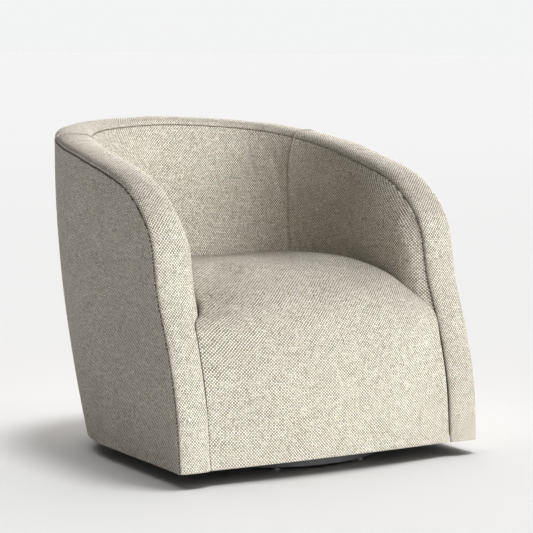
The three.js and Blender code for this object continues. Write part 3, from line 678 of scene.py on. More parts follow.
class Graph(Tree):
    """The node tree of one material, with one shader."""

    def __init__(self, name: str) -> None:
        """Starts a material.

        Args:
            name: Name of the material.
        """
        self.material = bpy.data.materials.new(name)
        self.material.use_nodes = True
        super().__init__(self.material.node_tree)
        self.shader = self.node("BsdfPrincipled")
        self.node("OutputMaterial", {"Surface": self.shader.outputs["BSDF"]})

    def blend(self, factor: object, first: object, second: object) -> bpy.types.NodeSocket:
        """Colour output of a mix of two colours."""
        return self.node("Mix", {0: factor, 6: first, 7: second}, data_type="RGBA").outputs[2]

    def scaled(self, vector: object, scale: Sequence[float], shift: float = 0.0) -> bpy.types.NodeSocket:
        """Places multiplied by a scale for each axis, and then moved."""
        sockets = {"Vector": vector, "Location": (shift, shift, shift), "Scale": scale}
        return self.node("Mapping", sockets).outputs[0]

    def between(self, value: object, low: float, high: float) -> bpy.types.NodeSocket:
        """A value from 0 to 1, spread from low to high."""
        return self.node("MapRange", {"Value": value, "To Min": low, "To Max": high}).outputs[0]

    def ramp(self, factor: bpy.types.NodeSocket, stops: Sequence[tuple[float, Sequence[float]]]
             ) -> bpy.types.NodeSocket:
        """Colour output of a ramp.

        Args:
            factor: Value that picks the colour.
            stops: Places and colours.

        Returns:
            The colour socket.
        """
        node = self.node("ValToRGB", {"Fac": factor})
        ramp = node.color_ramp
        while len(ramp.elements) < len(stops):
            ramp.elements.new(0.5)
        for element, (place, colour) in zip(ramp.elements, stops):
            element.position = place
            element.color = (*colour, 1)
        return node.outputs["Color"]

    def noise(self, vector: object, scale: float = 1.0, detail: float = 2.0) -> bpy.types.NodeSocket:
        """Value output of a noise texture."""
        settings = {"Vector": vector, "Scale": scale, "Detail": detail}
        return self.node("TexNoise", settings).outputs[0]

    def bump(self, height: bpy.types.NodeSocket, distance: float, strength: float = 1.0
             ) -> bpy.types.NodeSocket:
        """Normal output of a bump node.

        Args:
            height: Height pattern from 0 to 1.
            distance: Height in metres that 1 stands for.
            strength: Strength of the effect.

        Returns:
            The normal socket.
        """
        return self.node("Bump", {"Height": height, "Distance": distance, "Strength": strength}).outputs[0]

    def places(self) -> bpy.types.NodeSocket:
        """Object coordinates."""
        return self.node("TexCoord").outputs["Object"]

    def shade(self, **sockets: object) -> None:
        """Sets or joins the shader's sockets, with underscores for spaces."""
        for key, value in sockets.items():
            self.feed(self.shader.inputs[key.replace("_", " ")], value)


def toned(colour: Sequence[float], share: float, lift: float = 0.0) -> tuple[float, ...]:
    """A colour made lighter or darker by a share and a lift."""
    return tuple(share * value + lift for value in colour)


@dataclass(frozen=True)
class Tweed:
    """Oatmeal basket-weave tweed: pale warp over a darker, flecked weft, with painted shade in the hollows
    between the yarns.
    """

    name: str = "oatmeal_tweed"
    pitch: float = 3.4 * MM
    wander_scale: float = 25.0
    crown_power: float = 0.7
    end_power: float = 0.4
    groove: float = 0.05
    crest: float = 0.6
    relief: float = 0.8 * MM
    relief_strength: float = 0.8
    warp_changes: tuple[float, float] = (1.0, 0.3)
    weft_changes: tuple[float, float] = (0.2, 1.0)
    warp_shift: float = 3.1
    weft_shift: float = 17.7
    fleck_share: float = 0.35
    slub_scale: tuple[float, float, float] = (14, 110, 1)
    drift_scale: float = 9.0
    drift_detail: float = 3.0
    drift_range: tuple[float, float] = (0.35, 0.65)
    tone_range: tuple[float, float] = (0.93, 1.05)
    fuzz_scale: float = 2600.0
    fuzz_detail: float = 1.0
    fuzz_share: float = 0.35
    roughness: float = 0.92
    shine: float = 0.2
    sheen: float = 0.04
    sheen_roughness: float = 0.55
    # Painted shade: the near-black colour that the weave takes in the hollows between the yarns.
    hollow_shade: tuple[float, float, float] = (0.07, 0.06, 0.042)
    warp: tuple[tuple[float, tuple[float, float, float]], ...] = (
        (0.2, (0.50, 0.455, 0.37)), (0.36, (0.86, 0.81, 0.695)), (0.5, (0.97, 0.93, 0.83)),
        (0.7, (1.0, 0.98, 0.91)),
    )
    weft: tuple[tuple[float, tuple[float, float, float]], ...] = (
        (0.2, (0.09, 0.072, 0.048)), (0.38, (0.22, 0.185, 0.125)), (0.58, (0.40, 0.355, 0.27)),
        (0.8, (0.74, 0.69, 0.58)),
    )

    def material(self) -> bpy.types.Material:
        """Builds the weave from the cloth's own map.

        Returns:
            The material.
        """
        graph = Graph(self.name)
        cloth = graph.node("UVMap", uv_map=WEAVE_MAP).outputs["UV"]
        wander = graph.node("TexNoise", {"Vector": cloth, "Scale": self.wander_scale}).outputs["Color"]
        sway = graph.node("VectorMath", {0: wander, "Scale": self.pitch}, operation="SCALE").outputs[0]
        bent = graph.node("VectorMath", {0: cloth, 1: sway}, operation="ADD").outputs[0]
        split = graph.node("SeparateXYZ", {"Vector": bent}).outputs
        wave_x, wave_y = (
            graph.math("SINE", graph.math("MULTIPLY", split[axis], math.pi / self.pitch)) for axis in "XY")
        warp_up = graph.math("GREATER_THAN", graph.math("MULTIPLY", wave_x, wave_y), 0.0)
        across, along = (graph.math("ABSOLUTE", wave) for wave in (wave_x, wave_y))
        height = graph.node("Mix", {
            0: warp_up, 2: self.strand(graph, along, across), 3: self.strand(graph, across, along),
        }, data_type="FLOAT").outputs[0]
        warp = graph.ramp(self.yarn(graph, bent, self.warp_changes, self.warp_shift), self.warp)
        weft = graph.ramp(self.yarn(graph, bent, self.weft_changes, self.weft_shift), self.weft)
        # Painted shade: where the weave's height is low, the yarn colour is blended to a near-black,
        # darkening the hollows between the yarns.
        lit = graph.node("MapRange", {
            "Value": height, "From Min": self.groove, "From Max": self.crest}).outputs[0]
        colour = graph.blend(lit, self.hollow_shade, graph.blend(warp_up, weft, warp))
        slub = graph.noise(graph.scaled(cloth, self.slub_scale))
        drift = graph.noise(graph.places(), self.drift_scale, self.drift_detail)
        tone = graph.node("MapRange", {
            "Value": graph.math("MULTIPLY", graph.math("ADD", slub, drift), 0.5),
            "From Min": self.drift_range[0], "From Max": self.drift_range[1],
            "To Min": self.tone_range[0], "To Max": self.tone_range[1]}).outputs[0]
        shown = graph.node("VectorMath", {0: colour, "Scale": tone}, operation="SCALE").outputs[0]
        fuzz = graph.noise(graph.places(), self.fuzz_scale, self.fuzz_detail)
        raised = graph.math("ADD", height, graph.math("MULTIPLY", fuzz, self.fuzz_share))
        graph.shade(
            Base_Color=shown, Roughness=self.roughness, Specular_IOR_Level=self.shine,
            Sheen_Weight=self.sheen, Sheen_Roughness=self.sheen_roughness,
            Normal=graph.bump(raised, self.relief, self.relief_strength))
        return graph.material

    def strand(self, graph: Graph, crown: object, ends: object) -> bpy.types.NodeSocket:
        """Height of a yarn from its round crown and its dipping ends.

        Args:
            graph: The material's graph.
            crown: Wave across the yarn.
            ends: Wave along the yarn.

        Returns:
            Value socket from 0 to 1.
        """
        rounded = graph.math("POWER", crown, self.crown_power)
        return graph.math("MULTIPLY", rounded, graph.math("POWER", ends, self.end_power))

    def yarn(self, graph: Graph, cloth: bpy.types.NodeSocket, changes: tuple[float, float],
             shift: float) -> bpy.types.NodeSocket:
        """Shade of the yarns that run one way.

        Args:
            graph: The material's graph.
            cloth: Cloth places.
            changes: Changes of shade in one pitch, along the cloth's two ways.
            shift: Offset that keeps the two sets of yarns apart.

        Returns:
            Value socket from 0 to 1.
        """
        scale = (changes[0] / self.pitch, changes[1] / self.pitch, 1)
        spun = graph.noise(graph.scaled(cloth, scale, shift))
        cell = graph.node("VectorMath", {0: cloth, 1: (self.pitch, self.pitch, 1)}, operation="DIVIDE")
        whole = graph.node("VectorMath", {0: cell.outputs[0]}, operation="FLOOR").outputs[0]
        fleck = graph.node("TexWhiteNoise", {"Vector": whole}, noise_dimensions="2D").outputs["Value"]
        return graph.node("Mix", {0: self.fleck_share, 2: spun, 3: fleck}, data_type="FLOAT").outputs[0]


@dataclass(frozen=True)
class Metal:
    """Bare or plated steel with drawn marks and faint stains."""

    name: str
    colour: tuple[float, float, float]
    roughness: float
    grain: tuple[float, float, float] = (40, 40, 900)
    grain_detail: float = 3.0
    stain_scale: float = 35.0
    stain_detail: float = 4.0
    stain_share: float = 0.7
    stain_places: tuple[float, float] = (0.35, 0.6)
    smoother: float = 0.08
    rougher: float = 0.12
    relief: float = 0.03 * MM

    def material(self) -> bpy.types.Material:
        """Builds the metal from object places.

        Returns:
            The material.
        """
        graph = Graph(self.name)
        places = graph.places()
        marks = graph.noise(graph.scaled(places, self.grain), detail=self.grain_detail)
        stain = graph.noise(places, self.stain_scale, self.stain_detail)
        stops = zip(self.stain_places, (toned(self.colour, self.stain_share), self.colour))
        rough = graph.between(marks, self.roughness - self.smoother, self.roughness + self.rougher)
        graph.shade(Base_Color=graph.ramp(stain, tuple(stops)), Metallic=1.0, Roughness=rough,
                    Normal=graph.bump(marks, self.relief))
        return graph.material


@dataclass(frozen=True)
class Coated:
    """Black paint or moulded plastic with a fine grained surface."""

    name: str
    colour: tuple[float, float, float]
    roughness: float
    grain: float = 1500.0
    relief: float = 0.04 * MM
    wear_scale: float = 60.0
    wear_detail: float = 5.0
    wear_share: float = 1.6
    wear_lift: float = 0.01
    wear_places: tuple[float, float] = (0.45, 0.8)
    smoother: float = 0.1
    rougher: float = 0.12

    def material(self) -> bpy.types.Material:
        """Builds the coat from object places.

        Returns:
            The material.
        """
        graph = Graph(self.name)
        places = graph.places()
        fine = graph.noise(places, self.grain)
        wear = graph.noise(places, self.wear_scale, self.wear_detail)
        worn = toned(self.colour, self.wear_share, self.wear_lift)
        stops = zip(self.wear_places, (self.colour, worn))
        rough = graph.between(wear, self.roughness - self.smoother, self.roughness + self.rougher)
        graph.shade(Base_Color=graph.ramp(wear, tuple(stops)), Roughness=rough,
                    Normal=graph.bump(fine, self.relief))
        return graph.material


@dataclass(frozen=True)
class Timber:
    """Raw plywood and hardwood with long grain."""

    name: str = "raw_timber"
    pale: tuple[float, float, float] = (0.62, 0.45, 0.27)
    dark: tuple[float, float, float] = (0.40, 0.26, 0.13)
    grain_scale: tuple[float, float, float] = (6, 60, 60)
    grain_detail: float = 6.0
    grain_places: tuple[float, float] = (0.35, 0.62)
    pore_scale: tuple[float, float, float] = (90, 1400, 1400)
    pore_share: float = 0.4
    roughness: float = 0.75
    relief: float = 0.15 * MM

    def material(self) -> bpy.types.Material:
        """Builds the grain from object places.

        Returns:
            The material.
        """
        graph = Graph(self.name)
        places = graph.places()
        grain = graph.noise(graph.scaled(places, self.grain_scale), detail=self.grain_detail)
        pores = graph.noise(graph.scaled(places, self.pore_scale))
        height = graph.math("ADD", grain, graph.math("MULTIPLY", pores, self.pore_share))
        stops = zip(self.grain_places, (self.dark, self.pale))
        graph.shade(Base_Color=graph.ramp(grain, tuple(stops)), Roughness=self.roughness,
                    Normal=graph.bump(height, self.relief))
        return graph.material


@dataclass(frozen=True)
class Felted:
    """Pressed or spun fibre cloth without a weave."""

    name: str
    colour: tuple[float, float, float]
    fibre: float = 900.0
    fibre_detail: float = 4.0
    lay: tuple[float, float, float] = (1, 0.25, 1)
    clump_scale: float = 90.0
    clump_detail: float = 3.0
    dark_share: float = 0.6
    tone_places: tuple[float, float] = (0.38, 0.6)
    roughness: float = 0.95
    sheen: float = 0.3
    relief: float = 0.3 * MM

    def material(self) -> bpy.types.Material:
        """Builds the fibres from object places.

        Returns:
            The material.
        """
        graph = Graph(self.name)
        places = graph.places()
        fibres = graph.noise(graph.scaled(places, self.lay), self.fibre, self.fibre_detail)
        clumps = graph.noise(places, self.clump_scale, self.clump_detail)
        tone = graph.math("MULTIPLY", graph.math("ADD", fibres, clumps), 0.5)
        stops = zip(self.tone_places, (toned(self.colour, self.dark_share), self.colour))
        graph.shade(Base_Color=graph.ramp(tone, tuple(stops)), Roughness=self.roughness,
                    Sheen_Weight=self.sheen, Normal=graph.bump(fibres, self.relief))
        return graph.material


@dataclass
class Finishes:
    """One material of each finish, shared by the pieces and the frame's own parts."""

    tweed: bpy.types.Material = field(default_factory=lambda: Tweed().material())
    paint: bpy.types.Material = field(default_factory=lambda: Coated(
        "satin_black_paint", (0.022, 0.022, 0.025), 0.38).material())
    plastic: bpy.types.Material = field(default_factory=lambda: Coated(
        "black_glide_plastic", (0.02, 0.02, 0.021), 0.55, 2200.0, 0.06 * MM).material())
    zinc: bpy.types.Material = field(default_factory=lambda: Metal(
        "zinc_plated_steel", (0.62, 0.63, 0.64), 0.38).material())
    spring: bpy.types.Material = field(default_factory=lambda: Metal(
        "oiled_spring_wire", (0.24, 0.24, 0.25), 0.34, (500, 30, 500)).material())
    timber: bpy.types.Material = field(default_factory=lambda: Timber().material())
    cambric: bpy.types.Material = field(default_factory=lambda: Felted(
        "black_dust_cloth", (0.03, 0.03, 0.032)).material())
    fibre: bpy.types.Material = field(default_factory=lambda: Felted(
        "pressed_fibre_pad", (0.42, 0.35, 0.26), 500.0).material())


@dataclass
class SoftPiece:
    """A covered and padded piece laid out on a grid."""

    wall: Wall
    name: str
    node: str
    fill: float = 0.8
    grid_step: float = 9 * MM
    seam_round: float = 5 * MM
    seam_gap: float = 0.3 * MM
    levels: int = 1
    stuffed: bool = False

    def columns(self) -> list[float]:
        """Shares of the grid's columns."""
        raise NotImplementedError

    def rows(self) -> list[float]:
        """Shares of the grid's rows."""
        raise NotImplementedError

    def face(self, u: float, v: float) -> Vector:
        """Place of the outer face."""
        raise NotImplementedError

    def back(self, u: float, v: float) -> Vector:
        """Place of the hidden face."""
        raise NotImplementedError

    def chart(self, u: float, v: float) -> tuple[float, float]:
        """Cloth place in metres."""
        raise NotImplementedError

    def held(self, u: float, v: float) -> float:
        """How firmly the cover is held, 1 where it is sewn down and 0 where it swells."""
        return 1.0

    def build(self) -> bpy.types.Object:
        """Makes the piece's object.

        Returns:
            The object, without material.
        """
        mesh = laid_out(self.columns(), self.rows(), self.face, self.back, self.chart)
        return finished(self.name, mesh)

    def dress(self, piece: bpy.types.Object, finishes: Finishes) -> None:
        """Args:
            piece: The piece's object.
            finishes: The shared materials.
        """
        subdivided(piece, self.levels)
        piece.data.materials.append(finishes.tweed)
        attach(piece, CHAIR_BODY)
        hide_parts(self.node)
        LOG.info("%s: %d faces before rounding", piece.name, len(piece.data.polygons))


@dataclass
class EdgeRoll(SoftPiece):
    """One length of the soft roll along the wall's edge."""

    start: float = 0.0
    end: float = 1.0
    side: Side = Side.RIGHT
    under_edge: float = 2.5 * MM
    under_bulge: float = 3.5 * MM
    inner_turn_share: float = 0.2
    tongue_drop: float = 12 * MM
    tongue_inset: float = 10 * MM
    tongue_reach: float = 44 * MM
    end_radius: float = 3 * MM
    girth_share: float = 1.2
    section_stations: int = 101
    gather_pitch: float = 7 * MM
    gather_height: float = 0.55 * MM
    gather_reach: float = 9 * MM
    gather_start_share: float = 1 / 30
    gathers_across: float = 3.0
    sway_length: float = 75 * MM
    sway_height: float = 1.3 * MM
    sway_start: float = 20 * MM
    noise_shifts: tuple[float, float] = (1.5, 0.3)
    fill: float = 0.9

    def __post_init__(self) -> None:
        """Works out how far the cloth has gone at each share of the section."""
        self.stations = np.linspace(0, 1, self.section_stations)
        self.section_runs = run_lengths([self.section(u, 0.5) for u in self.stations])

    def share(self, v: float) -> float:
        """Share of the edge line at a share of the roll."""
        return mix(self.start, self.end, v)

    @property
    def length(self) -> float:
        """Length of the roll along the edge line."""
        return self.wall.edge_run(self.end) - self.wall.edge_run(self.start)

    def columns(self) -> list[float]:
        """Close columns at both seams."""
        return eased(self.wall.band_width * self.girth_share, self.grid_step, self.under_bulge)

    def rows(self) -> list[float]:
        """Even rows, closer at both ends."""
        return eased(self.length, self.grid_step, self.seam_round)

    def end_round(self, v: float) -> float:
        """How far the roll draws in beside its cross seams."""
        return roll_off(min(v, 1 - v) * self.length, self.end_radius)

    def section(self, u: float, v: float) -> tuple[float, float]:
        """Outward and onward places over the top of the roll.

        Args:
            u: Share of the section from the outer to the inner seam.
            v: Share of the roll's length.

        Returns:
            Outward and onward offsets from the edge line.
        """
        width, rise = self.wall.band_sizes(self.share(v))
        dip = math.asin(self.under_edge / self.under_bulge)
        angle = mix(-dip, math.pi + dip, u)
        outward = -width * (1 - math.cos(angle)) / 2
        if angle > math.pi:
            outward = mix(-width, outward, self.inner_turn_share)
        lift = math.sin(angle)
        onward = rise * lift ** self.wall.band_round_share if lift > 0 else self.under_bulge * lift
        drawn = self.end_round(v)
        outward = -width / 2 + (outward + width / 2) * (1 - 2 * drawn / width)
        return outward, onward - drawn * max(lift, 0)

    def puckered(self, u: float, v: float, outward: float, onward: float) -> tuple[float, float]:
        """Adds the small gathers beside the seams and a soft unevenness.

        Args:
            u: Share of the section.
            v: Share of the roll's length.
            outward: Outward offset.
            onward: Onward offset.

        Returns:
            The offsets with the relief added.
        """
        width = self.wall.band_width
        along = abs(self.wall.edge_run(self.share(v)))
        gather_shift, sway_shift = self.noise_shifts
        beside = min(u, 1 - u)
        near = math.exp(-beside * width / self.gather_reach) * clamp01(beside / self.gather_start_share)
        fold = noise.noise(Vector((along / self.gather_pitch, u * self.gathers_across, gather_shift)))
        sway = ripple(Vector((along, u * width, sway_shift)), self.sway_length, self.sway_height)
        lift = clamp01(math.sin(math.pi * u)) * clamp01(self.length * min(v, 1 - v) / self.sway_start)
        return outward, onward + self.gather_height * near * fold + sway * lift

    def face(self, u: float, v: float) -> Vector:
        """Place over the top of the roll."""
        outward, onward = self.puckered(u, v, *self.section(u, v))
        return self.placed(v, outward, onward)

    def back(self, u: float, v: float) -> Vector:
        """Place under the roll, with the tongue between panel and pad.

        Args:
            u: Share of the section.
            v: Share of the roll's length.

        Returns:
            The place.
        """
        outer, onward = self.section(0, v)
        inner = self.section(1, v)[0]
        outward = mix(outer, inner, u)
        inside = -self.tongue_reach < outward < -self.tongue_inset
        return self.placed(v, outward, onward - (self.tongue_drop if inside else 0))

    def placed(self, v: float, outward: float, onward: float) -> Vector:
        """Point of the roll on its own side of the chair."""
        point = self.wall.edge_point(self.share(v), outward, onward)
        return Vector((point.x * self.side.value, point.y, point.z))

    def chart(self, u: float, v: float) -> tuple[float, float]:
        """Cloth place, across the roll and along the edge line."""
        return float(np.interp(u, self.stations, self.section_runs)), self.wall.edge_run(self.share(v))


@dataclass
class WallPatch:
    """A stretch of the wall between the edge line, a foot and upright seams."""

    wall: Wall
    foot: float
    inset: float
    gap: float

    def start_turn(self) -> float:
        """Plan turn between the upright seam and the patch's edge.

        Returns:
            The turn that the patch's gap takes up.
        """
        seam, height, step = self.wall.seam_turn_share, self.wall.height, self.wall.step
        level = self.wall.at(seam + step, height)[0] - self.wall.at(seam - step, height)[0]
        return self.gap * 2 * step / level.length

    def side(self, u: float, v: float) -> tuple[float, float]:
        """Turn and height on a side of the wall.

        Args:
            u: Share from the upright seam to the front.
            v: Share from the foot to the edge line.

        Returns:
            Turn and height.
        """
        wall = self.wall
        start = wall.seam_turn_share + self.start_turn()
        start_share = wall.share_at_turn(start)
        end_share = wall.share_at_height(self.foot) if self.foot > wall.lift else 1.0
        top = Vector(wall.inset(mix(start_share, wall.shoulder_share, u), self.inset))
        front = Vector(wall.inset(mix(end_share, wall.shoulder_share, v), self.inset))
        front.y = max(front.y, self.foot)
        corner_top_rear = Vector(wall.inset(start_share, self.inset))
        corner_top_front = Vector(wall.inset(wall.shoulder_share, self.inset))
        rear_low = Vector((start, self.foot))
        front_low = Vector((wall.inset(end_share, self.inset)[0], self.foot))
        rear = rear_low.lerp(corner_top_rear, v)
        rear.x = start
        bottom = rear_low.lerp(front_low, u)
        place = bottom * (1 - v) + top * v + rear * (1 - u) + front * u
        place -= rear_low * (1 - u) * (1 - v) + front_low * u * (1 - v)
        place -= corner_top_rear * (1 - u) * v + corner_top_front * u * v
        return place.x, place.y

    def rear(self, u: float, v: float) -> tuple[float, float]:
        """Turn and height on the back of the wall.

        Args:
            u: Share from left to right.
            v: Share from the foot to the edge line.

        Returns:
            Turn and height.
        """
        wall = self.wall
        share = wall.share_at_turn(wall.seam_turn_share - self.start_turn())
        turn, height = wall.inset(abs(mix(-share, share, u)), self.inset)
        return math.copysign(turn, u - 0.5), mix(self.foot, height, v)


@dataclass
class WallPiece(SoftPiece):
    """A covered piece that follows a patch of the wall."""

    side: Side | None = None
    foot: float = 30 * MM
    inset: float = 3.6 * MM

    def __post_init__(self) -> None:
        """Works out the piece's patch and its rough lengths."""
        patch = WallPatch(self.wall, self.foot, self.inset, self.seam_gap)
        self.patch: Callable[[float, float], tuple[float, float]] = patch.side if self.side else patch.rear
        first, last = self.patch(0, 0.5)[0], self.patch(1, 0.5)[0]
        self.across = abs(self.wall.run(last) - self.wall.run(first))
        self.up = self.patch(0.5, 1)[1] - self.foot

    def columns(self) -> list[float]:
        """Columns, closer at the upright edges."""
        return eased(self.across, self.grid_step, self.seam_round)

    def rows(self) -> list[float]:
        """Rows, closer at the foot and the edge line."""
        return eased(self.up, self.grid_step, self.seam_round)

    def inner(self, u: float, v: float) -> float:
        """Distance in from the piece's border."""
        return min(min(u, 1 - u) * self.across, min(v, 1 - v) * self.up)

    def edge_round(self, u: float, v: float) -> float:
        """Depth of the round at the piece's border.

        Args:
            u: Share across the piece.
            v: Share up the piece.

        Returns:
            Depth under the face.
        """
        near_u = clamp01(1 - min(u, 1 - u) * self.across / self.seam_round)
        near_v = clamp01(1 - min(v, 1 - v) * self.up / self.seam_round)
        near = min(math.hypot(near_u, near_v), 1)
        return self.seam_round * (1 - math.sqrt(1 - near * near))

    def sided(self, point: Vector) -> Vector:
        """The point on the piece's own side of the chair."""
        return Vector((point.x * (self.side.value if self.side else 1), point.y, point.z))

    def chart(self, u: float, v: float) -> tuple[float, float]:
        """Cloth place, round the wall and up it."""
        turn, height = self.patch(u, v)
        return self.wall.run(turn), height


@dataclass
class OutsidePanel(WallPiece):
    """Cover stretched over the outside of the wall."""

    seam_round: float = 2.5 * MM
    thickness: float = 7.7 * MM
    grid_step: float = 12 * MM
    sunk: float = 0.6 * MM
    sway_length: float = 160 * MM
    sway_height: float = 0.54 * MM
    sway_start_share: float = 0.05
    fill: float = 1.0

    def face(self, u: float, v: float) -> Vector:
        """Outer face, drawn in at its seams and very slightly uneven.

        Args:
            u: Share across the panel.
            v: Share up the panel.

        Returns:
            The place.
        """
        turn, height = self.patch(u, v)
        level = clamp01(min(u, 1 - u, v, 1 - v) / self.sway_start_share)
        sway = level * ripple(self.wall.under(turn, height, 0), self.sway_length, self.sway_height)
        return self.sided(self.wall.under(turn, height, self.edge_round(u, v) + self.sunk + sway))

    def back(self, u: float, v: float) -> Vector:
        """Inner face against the frame."""
        turn, height = self.patch(u, v)
        return self.sided(self.wall.under(turn, height, self.thickness))


@dataclass
class InsidePad(WallPiece):
    """Soft pad on the inside of the wall."""

    shape: PadShape | None = None
    foot: float = 316 * MM
    seam_round: float = 1.5 * MM
    grid_step: float = 8 * MM
    frame_depth: float = 48.3 * MM
    inner_share: float = 0.85
    swell: float = 4 * MM
    swell_start: float = 40 * MM
    sway_length: float = 110 * MM
    sway_height: float = 2 * MM
    sewn_run: float = 28 * MM
    fill: float = 0.85
    stuffed: bool = True

    def face(self, u: float, v: float) -> Vector:
        """Soft face, a little under its full thickness before it swells.

        Args:
            u: Share across the pad.
            v: Share up the pad.

        Returns:
            The place.
        """
        turn, height = self.patch(u, v)
        depth = self.shape.depth(turn, height) - self.edge_round(u, v)
        relief = clamp01(self.inner(u, v) / self.swell_start)
        place = self.wall.under(turn, height, depth)
        depth += relief * (ripple(place, self.sway_length, self.sway_height) - self.swell)
        return self.sided(self.wall.under(turn, height, depth))

    def back(self, u: float, v: float) -> Vector:
        """Flat face against the frame."""
        turn, height = self.patch(u, v)
        return self.sided(self.wall.under(turn, height, self.frame_depth))

    def chart(self, u: float, v: float) -> tuple[float, float]:
        """Cloth place, with the longer way over the arm's roll.

        Args:
            u: Share across the pad.
            v: Share up the pad.

        Returns:
            Metres round the wall and up it.
        """
        turn, height = self.patch(u, v)
        run = self.wall.run(turn)
        if not self.side:
            return run * self.inner_share, height
        return run + math.copysign(self.shape.roll_length(turn, height), run), height

    def held(self, u: float, v: float) -> float:
        """How firmly the cover is held, 1 at the seams and 0 inside."""
        return 1 - smooth(self.inner(u, v) / self.sewn_run)


@dataclass
class SeatCover(SoftPiece):
    """Tight crowned seat whose cover runs on down its front to the foot."""

    shape: PadShape | None = None
    seat_height: float = 422 * MM
    foot: float = 30 * MM
    pad_foot: float = 316 * MM
    underside: float = 311.2 * MM
    tuck: float = 90 * MM
    side_play: float = 0.8 * MM
    apron_thickness: float = 28 * MM
    bow_power: float = 2.8
    crown_power: float = 4.6
    pad_gap: float = 1.0 * MM
    crease: float = 2.5 * MM
    crease_blend: float = 3.0
    crown_blend_share: float = 0.2
    round_end_share: float = 0.05
    breadth_share: float = 0.2
    probe_share: float = 0.004
    line_stations: int = 401
    swell: float = 3 * MM
    swell_start: float = 50 * MM
    sways: tuple[tuple[float, float, tuple[float, float, float]], ...] = (
        (130 * MM, 2.2 * MM, (1.6, 1, 0.55)), (45 * MM, 0.5 * MM, (2.5, 1, 0.6)),
    )
    sewn_run: float = 36 * MM
    tucked_run: float = 30 * MM
    seam_round: float = 4 * MM
    foot_round: float = 4 * MM
    grid_step: float = 8 * MM
    fill: float = 0.9
    stuffed: bool = True
    line_shares: tuple[tuple[float, float], ...] = (
        (0.008, 0), (0.0028, 0.196), (0.0003, 0.417), (0.0083, 0.613), (0.0365, 0.772), (0.1, 0.9),
        (0.2, 0.975), (0.32, 1), (0.5, 0.985), (0.665, 0.951), (0.835, 0.919),
    )
    apron_edge_shares: tuple[float, ...] = (0, 0.26, 0.51, 0.77, 0.99)
    edge_shares: tuple[tuple[float, float], ...] = (
        (1.58, 0.80), (1.45, 0.878), (1.25, 0.935), (1.05, 0.95), (0.8, 0.95), (0.55, 0.952), (0.3, 0.952),
    )

    def __post_init__(self) -> None:
        """Works out the middle line, the side line and their lengths."""
        wall = self.wall
        self.line = Curve([
            (0, wall.depth * (share - 0.5), self.height_at(rise)) for share, rise in self.line_shares])
        apron = []
        for share in self.apron_edge_shares:
            on_edge = wall.share_at_height(mix(self.foot, self.pad_foot, share))
            apron.append(wall.edge_point(on_edge, -wall.band_sizes(on_edge)[0] - self.side_play, 0))
        tucked = [wall.under(turn, self.height_at(rise), self.tuck) for turn, rise in self.edge_shares]
        self.edge = Curve([point[:] for point in apron + tucked])
        self.apron_end = (len(apron) - 1) / (len(apron) + len(tucked) - 1)
        self.stations = np.linspace(0, 1, self.line_stations)
        self.runs = run_lengths([self.line.at(station)[:] for station in self.stations])
        self.breadth = 2 * self.edge.at(self.breadth_share).x

    def height_at(self, share: float) -> float:
        """Height at a share of the seat's own height."""
        return mix(self.foot, self.seat_height, share)

    def columns(self) -> list[float]:
        """Columns, closer at the sides."""
        return eased(self.breadth, self.grid_step, self.seam_round)

    def rows(self) -> list[float]:
        """Rows evenly spaced along the middle line.

        Returns:
            Shares of the line, closer at both ends.
        """
        length = float(self.runs[-1])
        return [float(np.interp(share * length, self.runs, self.stations))
                for share in eased(length, self.grid_step, self.seam_round)]

    def run(self, v: float) -> float:
        """Length along the middle line from the foot."""
        return float(np.interp(v, self.stations, self.runs))

    def loft(self, u: float, v: float) -> Vector:
        """Place on the plain crowned form between the middle line and the side line.

        Args:
            u: Share across the seat.
            v: Share from the foot over the crown to the back.

        Returns:
            The place.
        """
        side = 2 * u - 1
        middle, edge = self.line.at(v), self.edge.at(v)
        blend = smooth((v - self.apron_end) / self.crown_blend_share)
        power = mix(self.bow_power, self.crown_power, blend)
        bow = abs(side) ** power
        return Vector((side * edge.x, mix(middle.y, edge.y, bow), mix(middle.z, edge.z, bow)))

    def fitted(self, point: Vector, gap: float) -> Vector:
        """A point moved clear of the pads, and down along them where it would pass under.

        Args:
            point: Point of the plain form.
            gap: Clearance to the pads.

        Returns:
            The moved point.
        """
        if point.z < self.pad_foot - self.crease:
            return point
        turn, depth = self.wall.locate(point)
        over = self.shape.depth(turn, max(point.z, self.pad_foot)) + gap - depth
        blend = smooth((point.z - self.pad_foot + self.crease) / (self.crease_blend * self.crease))
        moved = soft_over(over, self.crease) * blend
        out = self.wall.at(turn, point.z)[1]
        return point - out * moved - Vector((0, 0, moved))

    def face(self, u: float, v: float) -> Vector:
        """Cover's face, drawn in beside the arms' fronts and tucked down beside the pads.

        Args:
            u: Share across the seat.
            v: Share from the foot over the crown to the back.

        Returns:
            The place.
        """
        point, normal = self.loft(u, v), self.normal(u, v)
        side_room, run = min(u, 1 - u) * self.breadth, self.run(v)
        relief = clamp01(min(side_room, run) / self.swell_start)
        sway = sum(ripple(point, *wave) for wave in self.sways)
        apron = 1 - smooth((v - self.apron_end) / self.round_end_share)
        rounds = roll_off(side_room, self.seam_round) * apron + roll_off(run, self.foot_round)
        point = point + normal * (relief * (sway - self.swell)) - normal * rounds
        return self.fitted(point, self.pad_gap)

    def normal(self, u: float, v: float) -> Vector:
        """Outward direction of the plain form.

        Args:
            u: Share across the seat.
            v: Share from the foot over the crown to the back.

        Returns:
            The direction.
        """
        step = self.probe_share
        across = self.loft(min(u + step, 1), v) - self.loft(max(u - step, 0), v)
        along = self.loft(u, min(v + step, 1)) - self.loft(u, max(v - step, 0))
        return across.cross(along).normalized()

